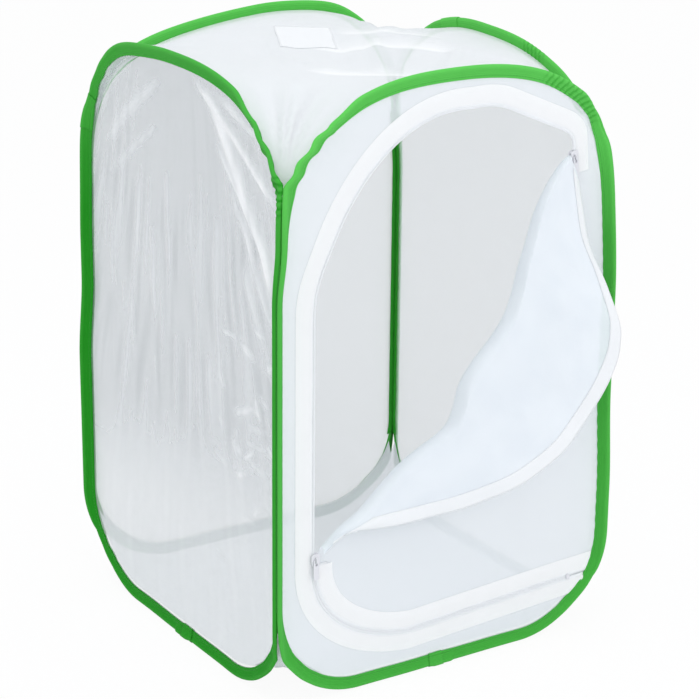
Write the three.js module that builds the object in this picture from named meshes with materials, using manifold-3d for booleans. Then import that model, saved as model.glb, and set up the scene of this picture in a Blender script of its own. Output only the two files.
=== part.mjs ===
// Pop-up butterfly habitat: a square, two foot tall net cage that folds flat.
//
// Four spring wire hoops stand on edge as the four walls. Each hoop runs inside a folded green
// binding tape that also clamps the edge of its wall panel. Neighbouring bindings are sewn together
// along the upright corners, so the walls shear flat like a parallelogram. A zipped door in the
// front wall hangs open over its diagonal.
//
// Millimetres, +Z up, front wall towards -Y, origin on the floor under the middle of the cage.
// A wall is modelled once, in wall coordinates: x along the wall, y up, z outwards.

import * as THREE from 'three';
import * as BufferGeometryUtils from 'three/addons/utils/BufferGeometryUtils.js';
import Module from 'manifold-3d';

const wasm = await Module();
wasm.setup();

// Cage
const HALF_SPAN = 190; // middle of the cage to the inner face of a wall
const HEIGHT = 613;

// Hoop outline, along the inner lip of the binding
const TOP_ARCH = 145; // height of the arched top of a hoop
const TOP_FULLNESS = 2.45; // 2 is an ellipse, higher is squarer
const FOOT_RADIUS = 91;

// Hoop wire, its joining sleeve and the binding tape folded round it
const WIRE_RADIUS = 1;
const SLEEVE_LENGTH = 22;
const SLEEVE_WALL = 0.6;
const CLEARANCE = 0.3;
const WIRE_PLAY = 0.5; // wire to the tape folded round it
const WIRE_END_GAP = 1;
const TAPE_PLY = 0.7;
const BINDING_WIDTH = 13;
const LIP_THICKNESS = 2.7;
const BEAD_FLAT = [0.6, 1.4]; // flat of the folded edge, in bead radii from the inner face
const BEAD_SHOULDER = 2.6; // where the bead runs out into the lip, in bead radii from the edge
const BORE_SHOULDER = 1.7; // where the bore runs out into the slot, in bore radii from the wire
const SLEEVE_RAMP = 8; // run over which the binding swells to pass the sleeve

// Sewn corners
const THREAD_RADIUS = 0.5;
const THREAD_INSET = 0.6; // thread line to the tips of the bindings, and to the wall faces
const SEAM_END_MARGIN = 2;

// Wall, top and floor panels
const PANEL_THICKNESS = 0.5;
const PANEL_RIM = 3; // edge of a wall panel held inside the binding
const TOP_SAG = 9;
const FLOOR_SAG = 7;
const ROOF_SEAM_RISE = 3; // top and floor panels are sewn this far past the lip
const ROOF_CUT = 0.955; // where their corners are cut off, as a share of the half span

// Door zip. Each point is set in from a side lip of the front binding, and down from its top lip or
// up from its foot lip. A bend, shoulder or heel is a control point of a curve.
const ZIP_START = [45, 108]; // from the right and top lips: lower end of the short right leg
const ZIP_LEG_TOP = [49, 74];
const ZIP_LEG_BEND = [51, 68];
const ZIP_RUN_START = [61, 63];
const ZIP_RUN_END = [128, 34];
const ZIP_CROWN_BEND = [144, 27];
const ZIP_CROWN = [170, 29];
const ZIP_LEFT_MARGIN = 37; // straight run beside the left lip
const ZIP_SHOULDER = [110, 21]; // from the left and top lips
const ZIP_SHOULDER_FOOT = [ZIP_LEFT_MARGIN, 130];
const ZIP_LEFT_TOP = [ZIP_LEFT_MARGIN, 208];
const ZIP_LEFT_FOOT = [ZIP_LEFT_MARGIN, 125]; // from the left and foot lips
const ZIP_HEEL = [ZIP_LEFT_MARGIN, 75];
const ZIP_HEEL_FOOT = [85, 39];
const ZIP_FLOOR_START = [150, 34];
const ZIP_END = [30, 45]; // from the right and foot lips
const ZIP_TAPE_WIDTH = 13;
const ZIP_TAPE_THICKNESS = 0.6;
const COIL_WIDTH = 2.2;
const COIL_THICKNESS = 1.4;
const COIL_GAP = 0.4; // between the two closed coils
const TAPE_SETBACK = 0.8; // zip tape edge behind the zip line
const NET_SETBACK = 6; // net edge behind the zip line
const STOP_LENGTH = 4;
const STOP_CORNER = 0.8;

// Zip sliders and pulls
const SLIDER_WIDTH = 9;
const SLIDER_LENGTH = 12;
const SLIDER_PLATE = 1;
const SLIDER_CORNER = 2.5;
const POST_CORNER = 1;
const UPPER_SLIDER_RISE = 18; // above the lower end of the right leg
const LOWER_SLIDER_RISE = 12; // above the foot of the straight left run
const BRIDGE_WIDTH = 1.6;
const BRIDGE_REACH = 3;
const BRIDGE_BAR = 0.85;
const BRIDGE_CHAMFER = 1;
const BRIDGE_HOLE = [3.6, 2]; // along the slider, and high
const PULL_WIDTH = 6;
const PULL_LENGTH = 21;
const PULL_THICKNESS = 1;
const PULL_BAR = 1.2;
const PULL_CORNER = 1.5;
const PULL_WINDOW = [2.6, 5];

// Door flap, folded out over the line between the two sliders
const FOLD_RADIUS = 11; // half the depth of the soft roll at mid length
const FOLD_SAG = 30; // how far the roll hangs below the straight line between the sliders
const FLAP_LEAN = 7; // degrees that the hanging flap stands off the wall
const FLAP_CLEARANCE = 12; // flap edge to zip line when the door is shut
const GATHER_RIGHT = 44; // how far the upper free edge is drawn in by its folds
const GATHER_WINDOW = [0, 0.42]; // over this share of the open zip
const DRAWN_DOWN = 6; // how far the lower free edge slips along the fold
const DRAWN_WINDOW = [0.46, 0.92];
const FOLD_CROWDING = 1.4; // above 1, the cloth crowds along the fold towards the upper slider
const DRAPE_DEPTH = 7;
const DRAPE_FOLDS = 3.5;
const FLAP_START = 0.105; // share of the open zip where the flap leaves each slider
const FLAP_FINISH = 0.965;
const FLAP_LIP = 0.012; // gap between the roll and the flap, as a share of the hang
const FLAP_LAYER_GAP = 0.5; // between the flap, its zip tape and the coil
const TAPE_MOST = 0.8; // most of the hang that the zip tape takes up near the sliders

// Blank white ribbon patch, sewn flat on the top panel
const RIBBON_LENGTH = 58;
const RIBBON_WIDTH = 94;
const RIBBON_THICKNESS = 0.5;
const RIBBON_PLACE = [-2, 71]; // middle of the patch on the top panel
const RIBBON_TURN = THREE.MathUtils.degToRad(-27);

// Derived sizes of the hoop and its binding
const TOP_LIP = HEIGHT - BINDING_WIDTH;
const ARCH_FOOT = TOP_LIP - TOP_ARCH;
const FOOT_TOP = BINDING_WIDTH + FOOT_RADIUS;
const FACE_OFFSET = CLEARANCE / 2; // inner face of a binding outside its wall plane
const BEAD_RADIUS = WIRE_RADIUS + WIRE_PLAY + TAPE_PLY;
const SLEEVE_RADIUS = WIRE_RADIUS + CLEARANCE + SLEEVE_WALL;
const SLEEVE_BEAD = SLEEVE_RADIUS + WIRE_PLAY + TAPE_PLY;
const PANEL_BACK = (LIP_THICKNESS - PANEL_THICKNESS) / 2 + FACE_OFFSET;
const PANEL_FRONT = PANEL_BACK + PANEL_THICKNESS;
const ZIP_TAPE_BACK = PANEL_FRONT + CLEARANCE;
const ZIP_TAPE_FRONT = ZIP_TAPE_BACK + ZIP_TAPE_THICKNESS;
const COIL_BACK = ZIP_TAPE_FRONT + CLEARANCE;
const COIL_FRONT = COIL_BACK + COIL_THICKNESS;

const ARCH_STEPS = 6; // from mid wall to where the binding turns
const FOOT_STEPS = 4;
const TURN_STEPS = 6;
const WIRE_SIDES = 6;
const PANEL_STEPS = 12;
const CURVE_STEPS = 9; // along each curve of the zip

const greenTape = new THREE.MeshStandardMaterial({ color: 0x35b545, roughness: 0.75 });
const whiteNet = new THREE.MeshStandardMaterial({ color: 0xeef1f6, roughness: 0.9 });
const whiteTape = new THREE.MeshStandardMaterial({ color: 0xf6f8fb, roughness: 0.8 });
const clearFilm = new THREE.MeshStandardMaterial({ color: 0xdfe6ea, roughness: 0.15 });
const springSteel = new THREE.MeshStandardMaterial({ color: 0xa9adb0, roughness: 0.35, metalness: 0.9 });
const zipMetal = new THREE.MeshStandardMaterial({ color: 0xc7cacc, roughness: 0.3, metalness: 1 });
const whiteNylon = new THREE.MeshStandardMaterial({ color: 0xf0f2f4, roughness: 0.5 });
const greenThread = new THREE.MeshStandardMaterial({ color: 0x1f7a2b, roughness: 0.8 });

// Solids from rings and grids of points

function solid(points, triangles) {
  const geometry = new THREE.BufferGeometry();
  geometry.setAttribute('position', new THREE.Float32BufferAttribute(points.flatMap((p) => p.toArray()), 3));
  geometry.setIndex(triangles);
  return facedOutwards(geometry);
}

function facedOutwards(geometry) {
  const at = geometry.attributes.position;
  const index = geometry.index.array;
  const [a, b, c] = [new THREE.Vector3(), new THREE.Vector3(), new THREE.Vector3()];
  let volume = 0;
  for (let i = 0; i < index.length; i += 3) {
    a.fromBufferAttribute(at, index[i]);
    b.fromBufferAttribute(at, index[i + 1]);
    c.fromBufferAttribute(at, index[i + 2]);
    volume += a.dot(b.cross(c));
  }
  if (volume < 0) {
    index.reverse();
  }
  return geometry;
}

// A skin over rings of equal length, joined end to end or capped.
function loft(rings, closed) {
  const size = rings[0].length;
  const triangles = [];
  const spans = closed ? rings.length : rings.length - 1;
  for (let i = 0; i < spans; i++) {
    const here = i * size;
    const next = ((i + 1) % rings.length) * size;
    for (let j = 0; j < size; j++) {
      const k = (j + 1) % size;
      triangles.push(here + j, next + j, next + k, here + j, next + k, here + k);
    }
  }
  if (!closed) {
    const last = (rings.length - 1) * size;
    for (let j = 1; j < size - 1; j++) {
      triangles.push(0, j, j + 1, last, last + j + 1, last + j);
    }
  }
  return solid(rings.flat(), triangles);
}

// A sheet between two grids of points that match row by row.
function sheet(back, front) {
  const rows = back.length;
  const columns = back[0].length;
  const layer = rows * columns;
  const at = (row, column) => row * columns + column;
  const triangles = [];
  for (let r = 0; r < rows - 1; r++) {
    for (let c = 0; c < columns - 1; c++) {
      const [p, q, s, t] = [at(r, c), at(r, c + 1), at(r + 1, c + 1), at(r + 1, c)];
      triangles.push(p, s, q, p, t, s);
      triangles.push(layer + p, layer + q, layer + s, layer + p, layer + s, layer + t);
    }
  }
  const rim = [];
  for (let c = 0; c < columns - 1; c++) rim.push(at(0, c));
  for (let r = 0; r < rows - 1; r++) rim.push(at(r, columns - 1));
  for (let c = columns - 1; c > 0; c--) rim.push(at(rows - 1, c));
  for (let r = rows - 1; r > 0; r--) rim.push(at(r, 0));
  rim.forEach((p, i) => {
    const q = rim[(i + 1) % rim.length];
    triangles.push(p, q, layer + q, p, layer + q, layer + p);
  });
  return solid([...back.flat(), ...front.flat()], triangles);
}

function toManifold(geometry) {
  const bare = geometry.clone();
  bare.deleteAttribute('normal');
  bare.deleteAttribute('uv');
  const merged = BufferGeometryUtils.mergeVertices(bare, 1e-4);
  return new wasm.Manifold(new wasm.Mesh({
    numProp: 3,
    vertProperties: new Float32Array(merged.attributes.position.array),
    triVerts: new Uint32Array(merged.index.array),
  }));
}

function fromManifold(manifold) {
  const mesh = manifold.getMesh();
  const geometry = new THREE.BufferGeometry();
  geometry.setAttribute('position', new THREE.BufferAttribute(mesh.vertProperties, 3));
  geometry.setIndex(new THREE.BufferAttribute(mesh.triVerts, 1));
  return geometry;
}

function piece(name, geometry, material) {
  const mesh = new THREE.Mesh(geometry, material);
  mesh.name = name;
  return mesh;
}

// Hoop

// Height of the lip of a hoop's arched top, and of its rounded foot, at a distance from mid wall.
function topLip(along) {
  const share = Math.min(1, Math.abs(along) / HALF_SPAN);
  return ARCH_FOOT + TOP_ARCH * (1 - share ** TOP_FULLNESS) ** (1 / TOP_FULLNESS);
}

function footLip(along) {
  const past = Math.max(0, Math.abs(along) - (HALF_SPAN - FOOT_RADIUS));
  return FOOT_TOP - Math.sqrt(Math.max(0, FOOT_RADIUS ** 2 - past ** 2));
}

// Places along the wall where a binding turns, from the corner to where it lies flat in its wall.
const turning = Array.from({ length: TURN_STEPS + 1 }, (_, i) => {
  return HALF_SPAN - (BINDING_WIDTH * i) / TURN_STEPS;
});

function eased(from, to, steps) {
  return Array.from({ length: steps }, (_, i) => {
    return to + (from - to) * Math.cos((((i + 1) / steps) * Math.PI) / 2);
  });
}

function footStation(x) {
  const outX = (x - (HALF_SPAN - FOOT_RADIUS)) / FOOT_RADIUS;
  return { x, y: footLip(x), outX, outY: -Math.sqrt(Math.max(0, 1 - outX ** 2)) };
}

function archStation(x) {
  const y = topLip(x);
  const slopeX = (x / HALF_SPAN) ** (TOP_FULLNESS - 1) / HALF_SPAN;
  const slopeY = ((y - ARCH_FOOT) / TOP_ARCH) ** (TOP_FULLNESS - 1) / TOP_ARCH;
  const size = Math.hypot(slopeX, slopeY);
  return { x, y, outX: slopeX / size, outY: slopeY / size };
}

// Stations round the hoop from the middle of its foot, each with the way out of the hoop in the
// wall, the turn of the binding out of the wall, and the size of its bead.
function hoopStations() {
  const sleeveEnd = SLEEVE_LENGTH / 2 + CLEARANCE;
  const flat = [
    { x: sleeveEnd, y: BINDING_WIDTH, outX: 0, outY: -1, bead: SLEEVE_BEAD },
    { x: sleeveEnd + SLEEVE_RAMP, y: BINDING_WIDTH, outX: 0, outY: -1 },
  ];
  const flatEnd = HALF_SPAN - BINDING_WIDTH;
  const foot = [...turning, ...eased(flatEnd, HALF_SPAN - FOOT_RADIUS, FOOT_STEPS)].reverse();
  const arch = [...turning, ...eased(flatEnd, 0, ARCH_STEPS)];
  const half = [...flat, ...foot.map(footStation), ...arch.map(archStation)];
  const crown = half.pop();
  const mirrored = half.map((s) => ({ ...s, x: -s.x, outX: -s.outX })).reverse();
  return [...half, crown, ...mirrored].map((s) => ({ bead: BEAD_RADIUS, ...s, turn: bindingTurn(s.x) }));
}

// At the upright corners two bindings stand face to face, turned half way out of their walls.
// Where the hoops part, each binding turns back into its wall, its tip still on the corner plane.
function bindingTurn(along) {
  const inward = Math.max(0, HALF_SPAN - Math.abs(along));
  const share = Math.min(Math.SQRT1_2, inward / (BINDING_WIDTH * Math.SQRT2));
  return Math.acos(share) - Math.PI / 4;
}

// A point of the binding's section: reach from the lip to the folded edge, depth from its inner face.
function bindingPoint(station, reach, depth) {
  const inWall = reach * Math.cos(station.turn) - depth * Math.sin(station.turn);
  const outWall = reach * Math.sin(station.turn) + depth * Math.cos(station.turn);
  return new THREE.Vector3(station.x + inWall * station.outX, station.y + inWall * station.outY, outWall);
}

function wireCentre(station) {
  return [BINDING_WIDTH - station.bead, station.bead + FACE_OFFSET];
}

// The tape folded round the wire: a bead at the fold, and two lips with a slot between them.
function bindingSection(station) {
  const bead = station.bead;
  const bore = bead - TAPE_PLY;
  const [reach, depth] = wireCentre(station);
  const face = FACE_OFFSET;
  const outer = [
    [0, face],
    [reach, face],
    [BINDING_WIDTH, face + BEAD_FLAT[0] * bead],
    [BINDING_WIDTH, face + BEAD_FLAT[1] * bead],
    [reach, face + 2 * bead],
    [BINDING_WIDTH - BEAD_SHOULDER * bead, face + LIP_THICKNESS],
    [0, face + LIP_THICKNESS],
  ];
  const slotFront = face + LIP_THICKNESS - TAPE_PLY;
  const slot = [[0, slotFront], [reach - BORE_SHOULDER * bore, slotFront]];
  for (let i = 2; i >= -2; i--) {
    slot.push([reach + bore * Math.cos((i * Math.PI) / 3), depth + bore * Math.sin((i * Math.PI) / 3)]);
  }
  slot.push([0, face + TAPE_PLY]);
  return [...outer, ...slot].map(([r, d]) => bindingPoint(station, r, d));
}

function wireSection(station) {
  const [reach, depth] = wireCentre(station);
  return Array.from({ length: WIRE_SIDES }, (_, i) => {
    const angle = (i / WIRE_SIDES) * 2 * Math.PI;
    const [across, out] = [WIRE_RADIUS * Math.cos(angle), WIRE_RADIUS * Math.sin(angle)];
    return bindingPoint(station, reach + across, depth + out);
  });
}

function hoopWire(stations) {
  const end = { ...stations[0], x: WIRE_END_GAP / 2 };
  const start = { ...end, x: -WIRE_END_GAP / 2 };
  return loft([end, ...stations, start].map(wireSection), false);
}

function wireSleeve() {
  const half = SLEEVE_LENGTH / 2;
  const [inner, outer] = [WIRE_RADIUS + CLEARANCE, SLEEVE_RADIUS];
  const profile = [[inner, -half], [outer, -half], [outer, half], [inner, half], [inner, -half]];
  const tube = new THREE.LatheGeometry(profile.map((p) => new THREE.Vector2(...p)), 8);
  return BufferGeometryUtils.mergeVertices(tube.deleteAttribute('normal').deleteAttribute('uv'), 1e-4)
    .rotateZ(Math.PI / 2)
    .translate(0, SLEEVE_BEAD, SLEEVE_BEAD + FACE_OFFSET);
}

// A wall panel: flat inside the lip, with its rim turned into the slot of the binding.
function wallPanel(stations) {
  const ring = (reach, depth) => stations.map((s) => bindingPoint(s, reach, depth));
  const inside = [ring(0, PANEL_BACK), ring(PANEL_RIM, PANEL_BACK)];
  const outside = [ring(PANEL_RIM, PANEL_FRONT), ring(0, PANEL_FRONT)];
  const rings = [...inside, ...outside];
  const count = stations.length;
  const outline = rings[0].map((p) => new THREE.Vector2(p.x, p.y));
  const triangles = [];
  for (const [a, b, c] of THREE.ShapeUtils.triangulateShape(outline, [])) {
    triangles.push(a, c, b, 3 * count + a, 3 * count + b, 3 * count + c);
  }
  for (let r = 0; r < 3; r++) {
    for (let i = 0; i < count; i++) {
      const next = (i + 1) % count;
      const [p, q] = [r * count + i, r * count + next];
      triangles.push(p, q, q + count, p, q + count, p + count);
    }
  }
  return solid(rings.flat(), triangles);
}

// Height of a panel stretched between the four hoops, at shares of the half span: level in the
// middle, with each corner drawn to where its two hoops part.
function topHeight(a, b) {
  const sag = TOP_SAG * (1 - a * a) * (1 - b * b);
  return topLip(HALF_SPAN * Math.abs(a * b)) + ROOF_SEAM_RISE - sag;
}

function floorHeight(a, b) {
  const sag = FLOOR_SAG * (1 - a * a) * (1 - b * b);
  return footLip(HALF_SPAN * Math.abs(a * b)) - ROOF_SEAM_RISE - sag;
}

function stretchedPanel(height) {
  const reach = HALF_SPAN - CLEARANCE - PANEL_THICKNESS;
  const widest = Math.sin((Math.PI / 2) * (1 - 2 / PANEL_STEPS));
  const steps = Array.from({ length: PANEL_STEPS + 1 }, (_, i) => {
    const share = (2 * i) / PANEL_STEPS - 1;
    const inside = (ROOF_CUT * Math.sin((share * Math.PI) / 2)) / widest;
    return Math.abs(share) === 1 ? share : inside;
  });
  const layer = (lift) => {
    const grid = steps.map((b) => steps.map((a) => {
      const slope = 1e-3;
      const east = (height(a + slope, b) - height(a - slope, b)) / (2 * slope * reach);
      const north = (height(a, b + slope) - height(a, b - slope)) / (2 * slope * reach);
      const normal = new THREE.Vector3(-east, -north, 1).normalize();
      return new THREE.Vector3(a * reach, b * reach, height(a, b)).addScaledVector(normal, lift);
    }));
    for (const [r, nextRow] of [[0, 1], [PANEL_STEPS, PANEL_STEPS - 1]]) {
      for (const [c, nextColumn] of [[0, 1], [PANEL_STEPS, PANEL_STEPS - 1]]) {
        grid[r][c].addVectors(grid[nextRow][c], grid[r][nextColumn]).multiplyScalar(0.5);
      }
    }
    return grid;
  };
  return sheet(layer(-PANEL_THICKNESS / 2), layer(PANEL_THICKNESS / 2));
}

// Door zip

const fromRightTop = ([across, down]) => [HALF_SPAN - across, TOP_LIP - down];
const fromLeftTop = ([across, down]) => [across - HALF_SPAN, TOP_LIP - down];
const fromLeftFoot = ([across, up]) => [across - HALF_SPAN, BINDING_WIDTH + up];
const fromRightFoot = ([across, up]) => [HALF_SPAN - across, BINDING_WIDTH + up];

const zipStart = new THREE.Vector2(...fromRightTop(ZIP_START));
const zipLegTop = new THREE.Vector2(...fromRightTop(ZIP_LEG_TOP));
const zipLeftFoot = new THREE.Vector2(...fromLeftFoot(ZIP_LEFT_FOOT));
const zipFloorStart = new THREE.Vector2(...fromLeftFoot(ZIP_FLOOR_START));
const zipEnd = new THREE.Vector2(...fromRightFoot(ZIP_END));

const zipPath = new THREE.Path()
  .moveTo(...zipStart)
  .lineTo(...zipLegTop)
  .quadraticCurveTo(...fromRightTop(ZIP_LEG_BEND), ...fromRightTop(ZIP_RUN_START))
  .lineTo(...fromRightTop(ZIP_RUN_END))
  .quadraticCurveTo(...fromRightTop(ZIP_CROWN_BEND), ...fromRightTop(ZIP_CROWN))
  .bezierCurveTo(...fromLeftTop(ZIP_SHOULDER), ...fromLeftTop(ZIP_SHOULDER_FOOT), ...fromLeftTop(ZIP_LEFT_TOP))
  .lineTo(...zipLeftFoot)
  .bezierCurveTo(...fromLeftFoot(ZIP_HEEL), ...fromLeftFoot(ZIP_HEEL_FOOT), ...zipFloorStart)
  .lineTo(...zipEnd);
const zipPoints = zipPath.getPoints(CURVE_STEPS);

function runLengths(points) {
  const lengths = [0];
  for (let i = 1; i < points.length; i++) {
    lengths.push(lengths[i - 1] + points[i].distanceTo(points[i - 1]));
  }
  return lengths;
}

const zipLengths = runLengths(zipPoints);
const ZIP_LENGTH = zipLengths.at(-1);

function zipPoint(length) {
  const i = Math.max(1, zipLengths.findIndex((l) => l >= length));
  const share = (length - zipLengths[i - 1]) / (zipLengths[i] - zipLengths[i - 1]);
  return zipPoints[i - 1].clone().lerp(zipPoints[i], share);
}

function zipStretch(from, to) {
  const inside = zipPoints.filter((_, i) => zipLengths[i] > from + 1 && zipLengths[i] < to - 1);
  return [zipPoint(from), ...inside, zipPoint(to)];
}

// Points beside a line, to its right as it is followed, so positive is outside the door.
function beside(points, distance) {
  return points.map((p, i) => {
    const [before, after] = [Math.max(i - 1, 0), Math.min(i + 1, points.length - 1)];
    const along = points[after].clone().sub(points[before]).normalize();
    return new THREE.Vector2(p.x + along.y * distance, p.y - along.x * distance);
  });
}

// A band that follows a line on the wall, between two distances beside it.
function band(points, near, far, back, front) {
  const [inner, outer] = [beside(points, near), beside(points, far)];
  return loft(points.map((_, i) => [
    new THREE.Vector3(inner[i].x, inner[i].y, back),
    new THREE.Vector3(outer[i].x, outer[i].y, back),
    new THREE.Vector3(outer[i].x, outer[i].y, front),
    new THREE.Vector3(inner[i].x, inner[i].y, front),
  ]), false);
}

const coilNear = COIL_GAP / 2;
const coilFar = coilNear + COIL_WIDTH;
const tapeFar = TAPE_SETBACK + ZIP_TAPE_WIDTH;

// The upper slider parks on the right leg, the lower one on the straight left run.
const upperSliderAt = zipPoint(UPPER_SLIDER_RISE);
const lowerSliderAt = zipLeftFoot.clone().setY(zipLeftFoot.y + LOWER_SLIDER_RISE);
const openFrom = UPPER_SLIDER_RISE + SLIDER_LENGTH / 2;
const leftFoot = zipPoints.findIndex((p) => p.distanceTo(zipLeftFoot) < CLEARANCE);
const openTo = zipLengths[leftFoot] - LOWER_SLIDER_RISE - SLIDER_LENGTH / 2;
const closedFrom = openTo + SLIDER_LENGTH / 2 + CLEARANCE;

// Door flap

const foldTop = zipPoint(openFrom);
const foldFoot = zipPoint(openTo);
const foldAlong = foldFoot.clone().sub(foldTop);
const foldOut = new THREE.Vector2(foldAlong.y, -foldAlong.x).normalize().negate();

// The roll sags between the sliders, and thins out towards both.
function foldPoint(share) {
  const sag = FOLD_SAG * Math.sin(Math.PI * share) ** 2;
  return foldTop.clone().addScaledVector(foldAlong, share).addScaledVector(foldOut, sag);
}

function foldRadius(share) {
  return FOLD_RADIUS * Math.sqrt(Math.max(0.01, 4 * share * (1 - share)));
}

function swell(share, from, to) {
  return share <= from || share >= to ? 0 : Math.sin((Math.PI * (share - from)) / (to - from)) ** 2;
}

// The free edge is the open zip turned over the fold line, drawn in where the cloth gathers.
function freeEdge(share) {
  const edge = zipPoint(openFrom + share * (openTo - openFrom));
  const turnedOver = 2 * foldTop.clone().sub(edge).dot(foldOut) - FLAP_CLEARANCE;
  edge.addScaledVector(foldOut, turnedOver);
  edge.x -= GATHER_RIGHT * swell(share, ...GATHER_WINDOW);
  edge.addScaledVector(foldAlong.clone().normalize(), DRAWN_DOWN * swell(share, ...DRAWN_WINDOW));
  return edge;
}

const FLAP_COLUMNS = 24;
const FLAP_ROWS = 8;
const ROLL_ROWS = 4;
const foldShare = (share) => share ** FOLD_CROWDING;
const flapShares = Array.from({ length: FLAP_COLUMNS + 1 }, (_, i) => {
  return FLAP_START + (FLAP_FINISH - FLAP_START) * (i / FLAP_COLUMNS);
});

// A point of the hanging flap: across runs from the roll at 0 to the free edge at 1.
function flapPoint(share, across, lift) {
  const fold = foldPoint(foldShare(share));
  const edge = freeEdge(share);
  const hang = across * fold.distanceTo(edge);
  const lean = Math.tan(THREE.MathUtils.degToRad(FLAP_LEAN)) * hang;
  const waves = Math.sin(2 * Math.PI * DRAPE_FOLDS * share) * Math.sin(Math.PI * share);
  const drape = DRAPE_DEPTH * across * waves;
  const out = PANEL_BACK + 2 * foldRadius(foldShare(share)) + lean + drape + lift;
  const flat = fold.lerp(edge, across);
  return new THREE.Vector3(flat.x, flat.y, out);
}

function flapGrid(from, to, rows, lift) {
  return Array.from({ length: rows + 1 }, (_, r) => {
    return flapShares.map((s) => flapPoint(s, from(s) + (to(s) - from(s)) * (r / rows), lift));
  });
}

function flapSheet(from, to, rows, back, front) {
  return sheet(flapGrid(from, to, rows, back), flapGrid(from, to, rows, front));
}

// Share of the hang that a width along the free edge takes up.
const hangShare = (width) => (share) => {
  return 1 - Math.min(TAPE_MOST, width / foldPoint(foldShare(share)).distanceTo(freeEdge(share)));
};

function foldRoll() {
  const layer = (lift) => Array.from({ length: ROLL_ROWS + 1 }, (_, r) => flapShares.map((s) => {
    const share = foldShare(s);
    const radius = foldRadius(share);
    const angle = (r / ROLL_ROWS) * Math.PI;
    const height = CLEARANCE + (radius + lift) * Math.sin(angle);
    const flat = foldPoint(share).addScaledVector(foldOut, -height);
    const middle = (PANEL_BACK + PANEL_FRONT) / 2 + radius;
    return new THREE.Vector3(flat.x, flat.y, middle - (radius + lift) * Math.cos(angle));
  }));
  return sheet(layer(-PANEL_THICKNESS / 2), layer(PANEL_THICKNESS / 2));
}

// Doorway and zip slot cut in the front net.
function doorCut() {
  const doorway = beside(zipStretch(openFrom - SLIDER_LENGTH, closedFrom), NET_SETBACK);
  const foldEdge = [0, ...flapShares.map(foldShare), 1].map(foldPoint).reverse();
  const slotLine = zipStretch(openTo - SLIDER_LENGTH, ZIP_LENGTH);
  const slot = [...beside(slotLine, NET_SETBACK), ...beside(slotLine, -NET_SETBACK).reverse()];
  const legLine = zipStretch(0, openFrom + SLIDER_LENGTH);
  const leg = [...beside(legLine, NET_SETBACK), ...beside(legLine, -NET_SETBACK).reverse()];
  const depth = 10 * PANEL_THICKNESS;
  const cutter = (outline) => {
    const shape = new THREE.ExtrudeGeometry(new THREE.Shape(outline), { depth, bevelEnabled: false });
    return toManifold(shape.translate(0, 0, PANEL_BACK - depth / 2));
  };
  return cutter([...doorway, ...foldEdge]).add(cutter(slot)).add(cutter(leg));
}

// Zip slider: two plates joined by a post on the door side, with a bridge for the pull on top.
function roundedPlate(width, length, corner) {
  const [x, y] = [width / 2, length / 2];
  return new THREE.Shape()
    .moveTo(-x + corner, -y)
    .lineTo(x - corner, -y)
    .quadraticCurveTo(x, -y, x, -y + corner)
    .lineTo(x, y - corner)
    .quadraticCurveTo(x, y, x - corner, y)
    .lineTo(-x + corner, y)
    .quadraticCurveTo(-x, y, -x, y - corner)
    .lineTo(-x, -y + corner)
    .quadraticCurveTo(-x, -y, -x + corner, -y);
}

const LOWER_PLATE_FRONT = ZIP_TAPE_BACK - CLEARANCE;
const UPPER_PLATE_BACK = COIL_FRONT + CLEARANCE;
const UPPER_PLATE_FRONT = UPPER_PLATE_BACK + SLIDER_PLATE;
const PULL_AXIS = UPPER_PLATE_FRONT + BRIDGE_HOLE[1] / 2;

function extruded(shape, depth, from) {
  const options = { depth, bevelEnabled: false, curveSegments: 3 };
  return new THREE.ExtrudeGeometry(shape, options).translate(0, 0, from);
}

function zipSlider(doorSide) {
  const plate = roundedPlate(SLIDER_WIDTH, SLIDER_LENGTH, SLIDER_CORNER);
  const lower = toManifold(extruded(plate, SLIDER_PLATE, LOWER_PLATE_FRONT - SLIDER_PLATE));
  const upper = toManifold(extruded(plate, SLIDER_PLATE, UPPER_PLATE_BACK));
  const postDepth = UPPER_PLATE_FRONT - LOWER_PLATE_FRONT;
  const postShape = roundedPlate(SLIDER_WIDTH / 3, SLIDER_LENGTH / 3, POST_CORNER);
  const post = toManifold(extruded(postShape, postDepth, LOWER_PLATE_FRONT - SLIDER_PLATE / 2))
    .translate([doorSide * (SLIDER_WIDTH / 6 + CLEARANCE), SLIDER_LENGTH / 4, 0]);
  const [holeLength, holeHeight] = BRIDGE_HOLE;
  const archTop = holeHeight + BRIDGE_BAR;
  const arch = new THREE.Shape()
    .moveTo(-BRIDGE_REACH, -SLIDER_PLATE / 2)
    .lineTo(BRIDGE_REACH, -SLIDER_PLATE / 2)
    .lineTo(BRIDGE_REACH, archTop - BRIDGE_CHAMFER)
    .lineTo(BRIDGE_REACH - BRIDGE_CHAMFER, archTop)
    .lineTo(-BRIDGE_REACH + BRIDGE_CHAMFER, archTop)
    .lineTo(-BRIDGE_REACH, archTop - BRIDGE_CHAMFER);
  arch.holes.push(new THREE.Path()
    .moveTo(-holeLength / 2, 0)
    .lineTo(-holeLength / 2, holeHeight)
    .lineTo(holeLength / 2, holeHeight)
    .lineTo(holeLength / 2, 0));
  const bridge = extruded(arch, BRIDGE_WIDTH, -BRIDGE_WIDTH / 2)
    .rotateX(Math.PI / 2)
    .rotateZ(Math.PI / 2)
    .translate(0, 0, UPPER_PLATE_FRONT);
  return fromManifold(lower.add(upper).add(post).add(toManifold(bridge)));
}

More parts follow.
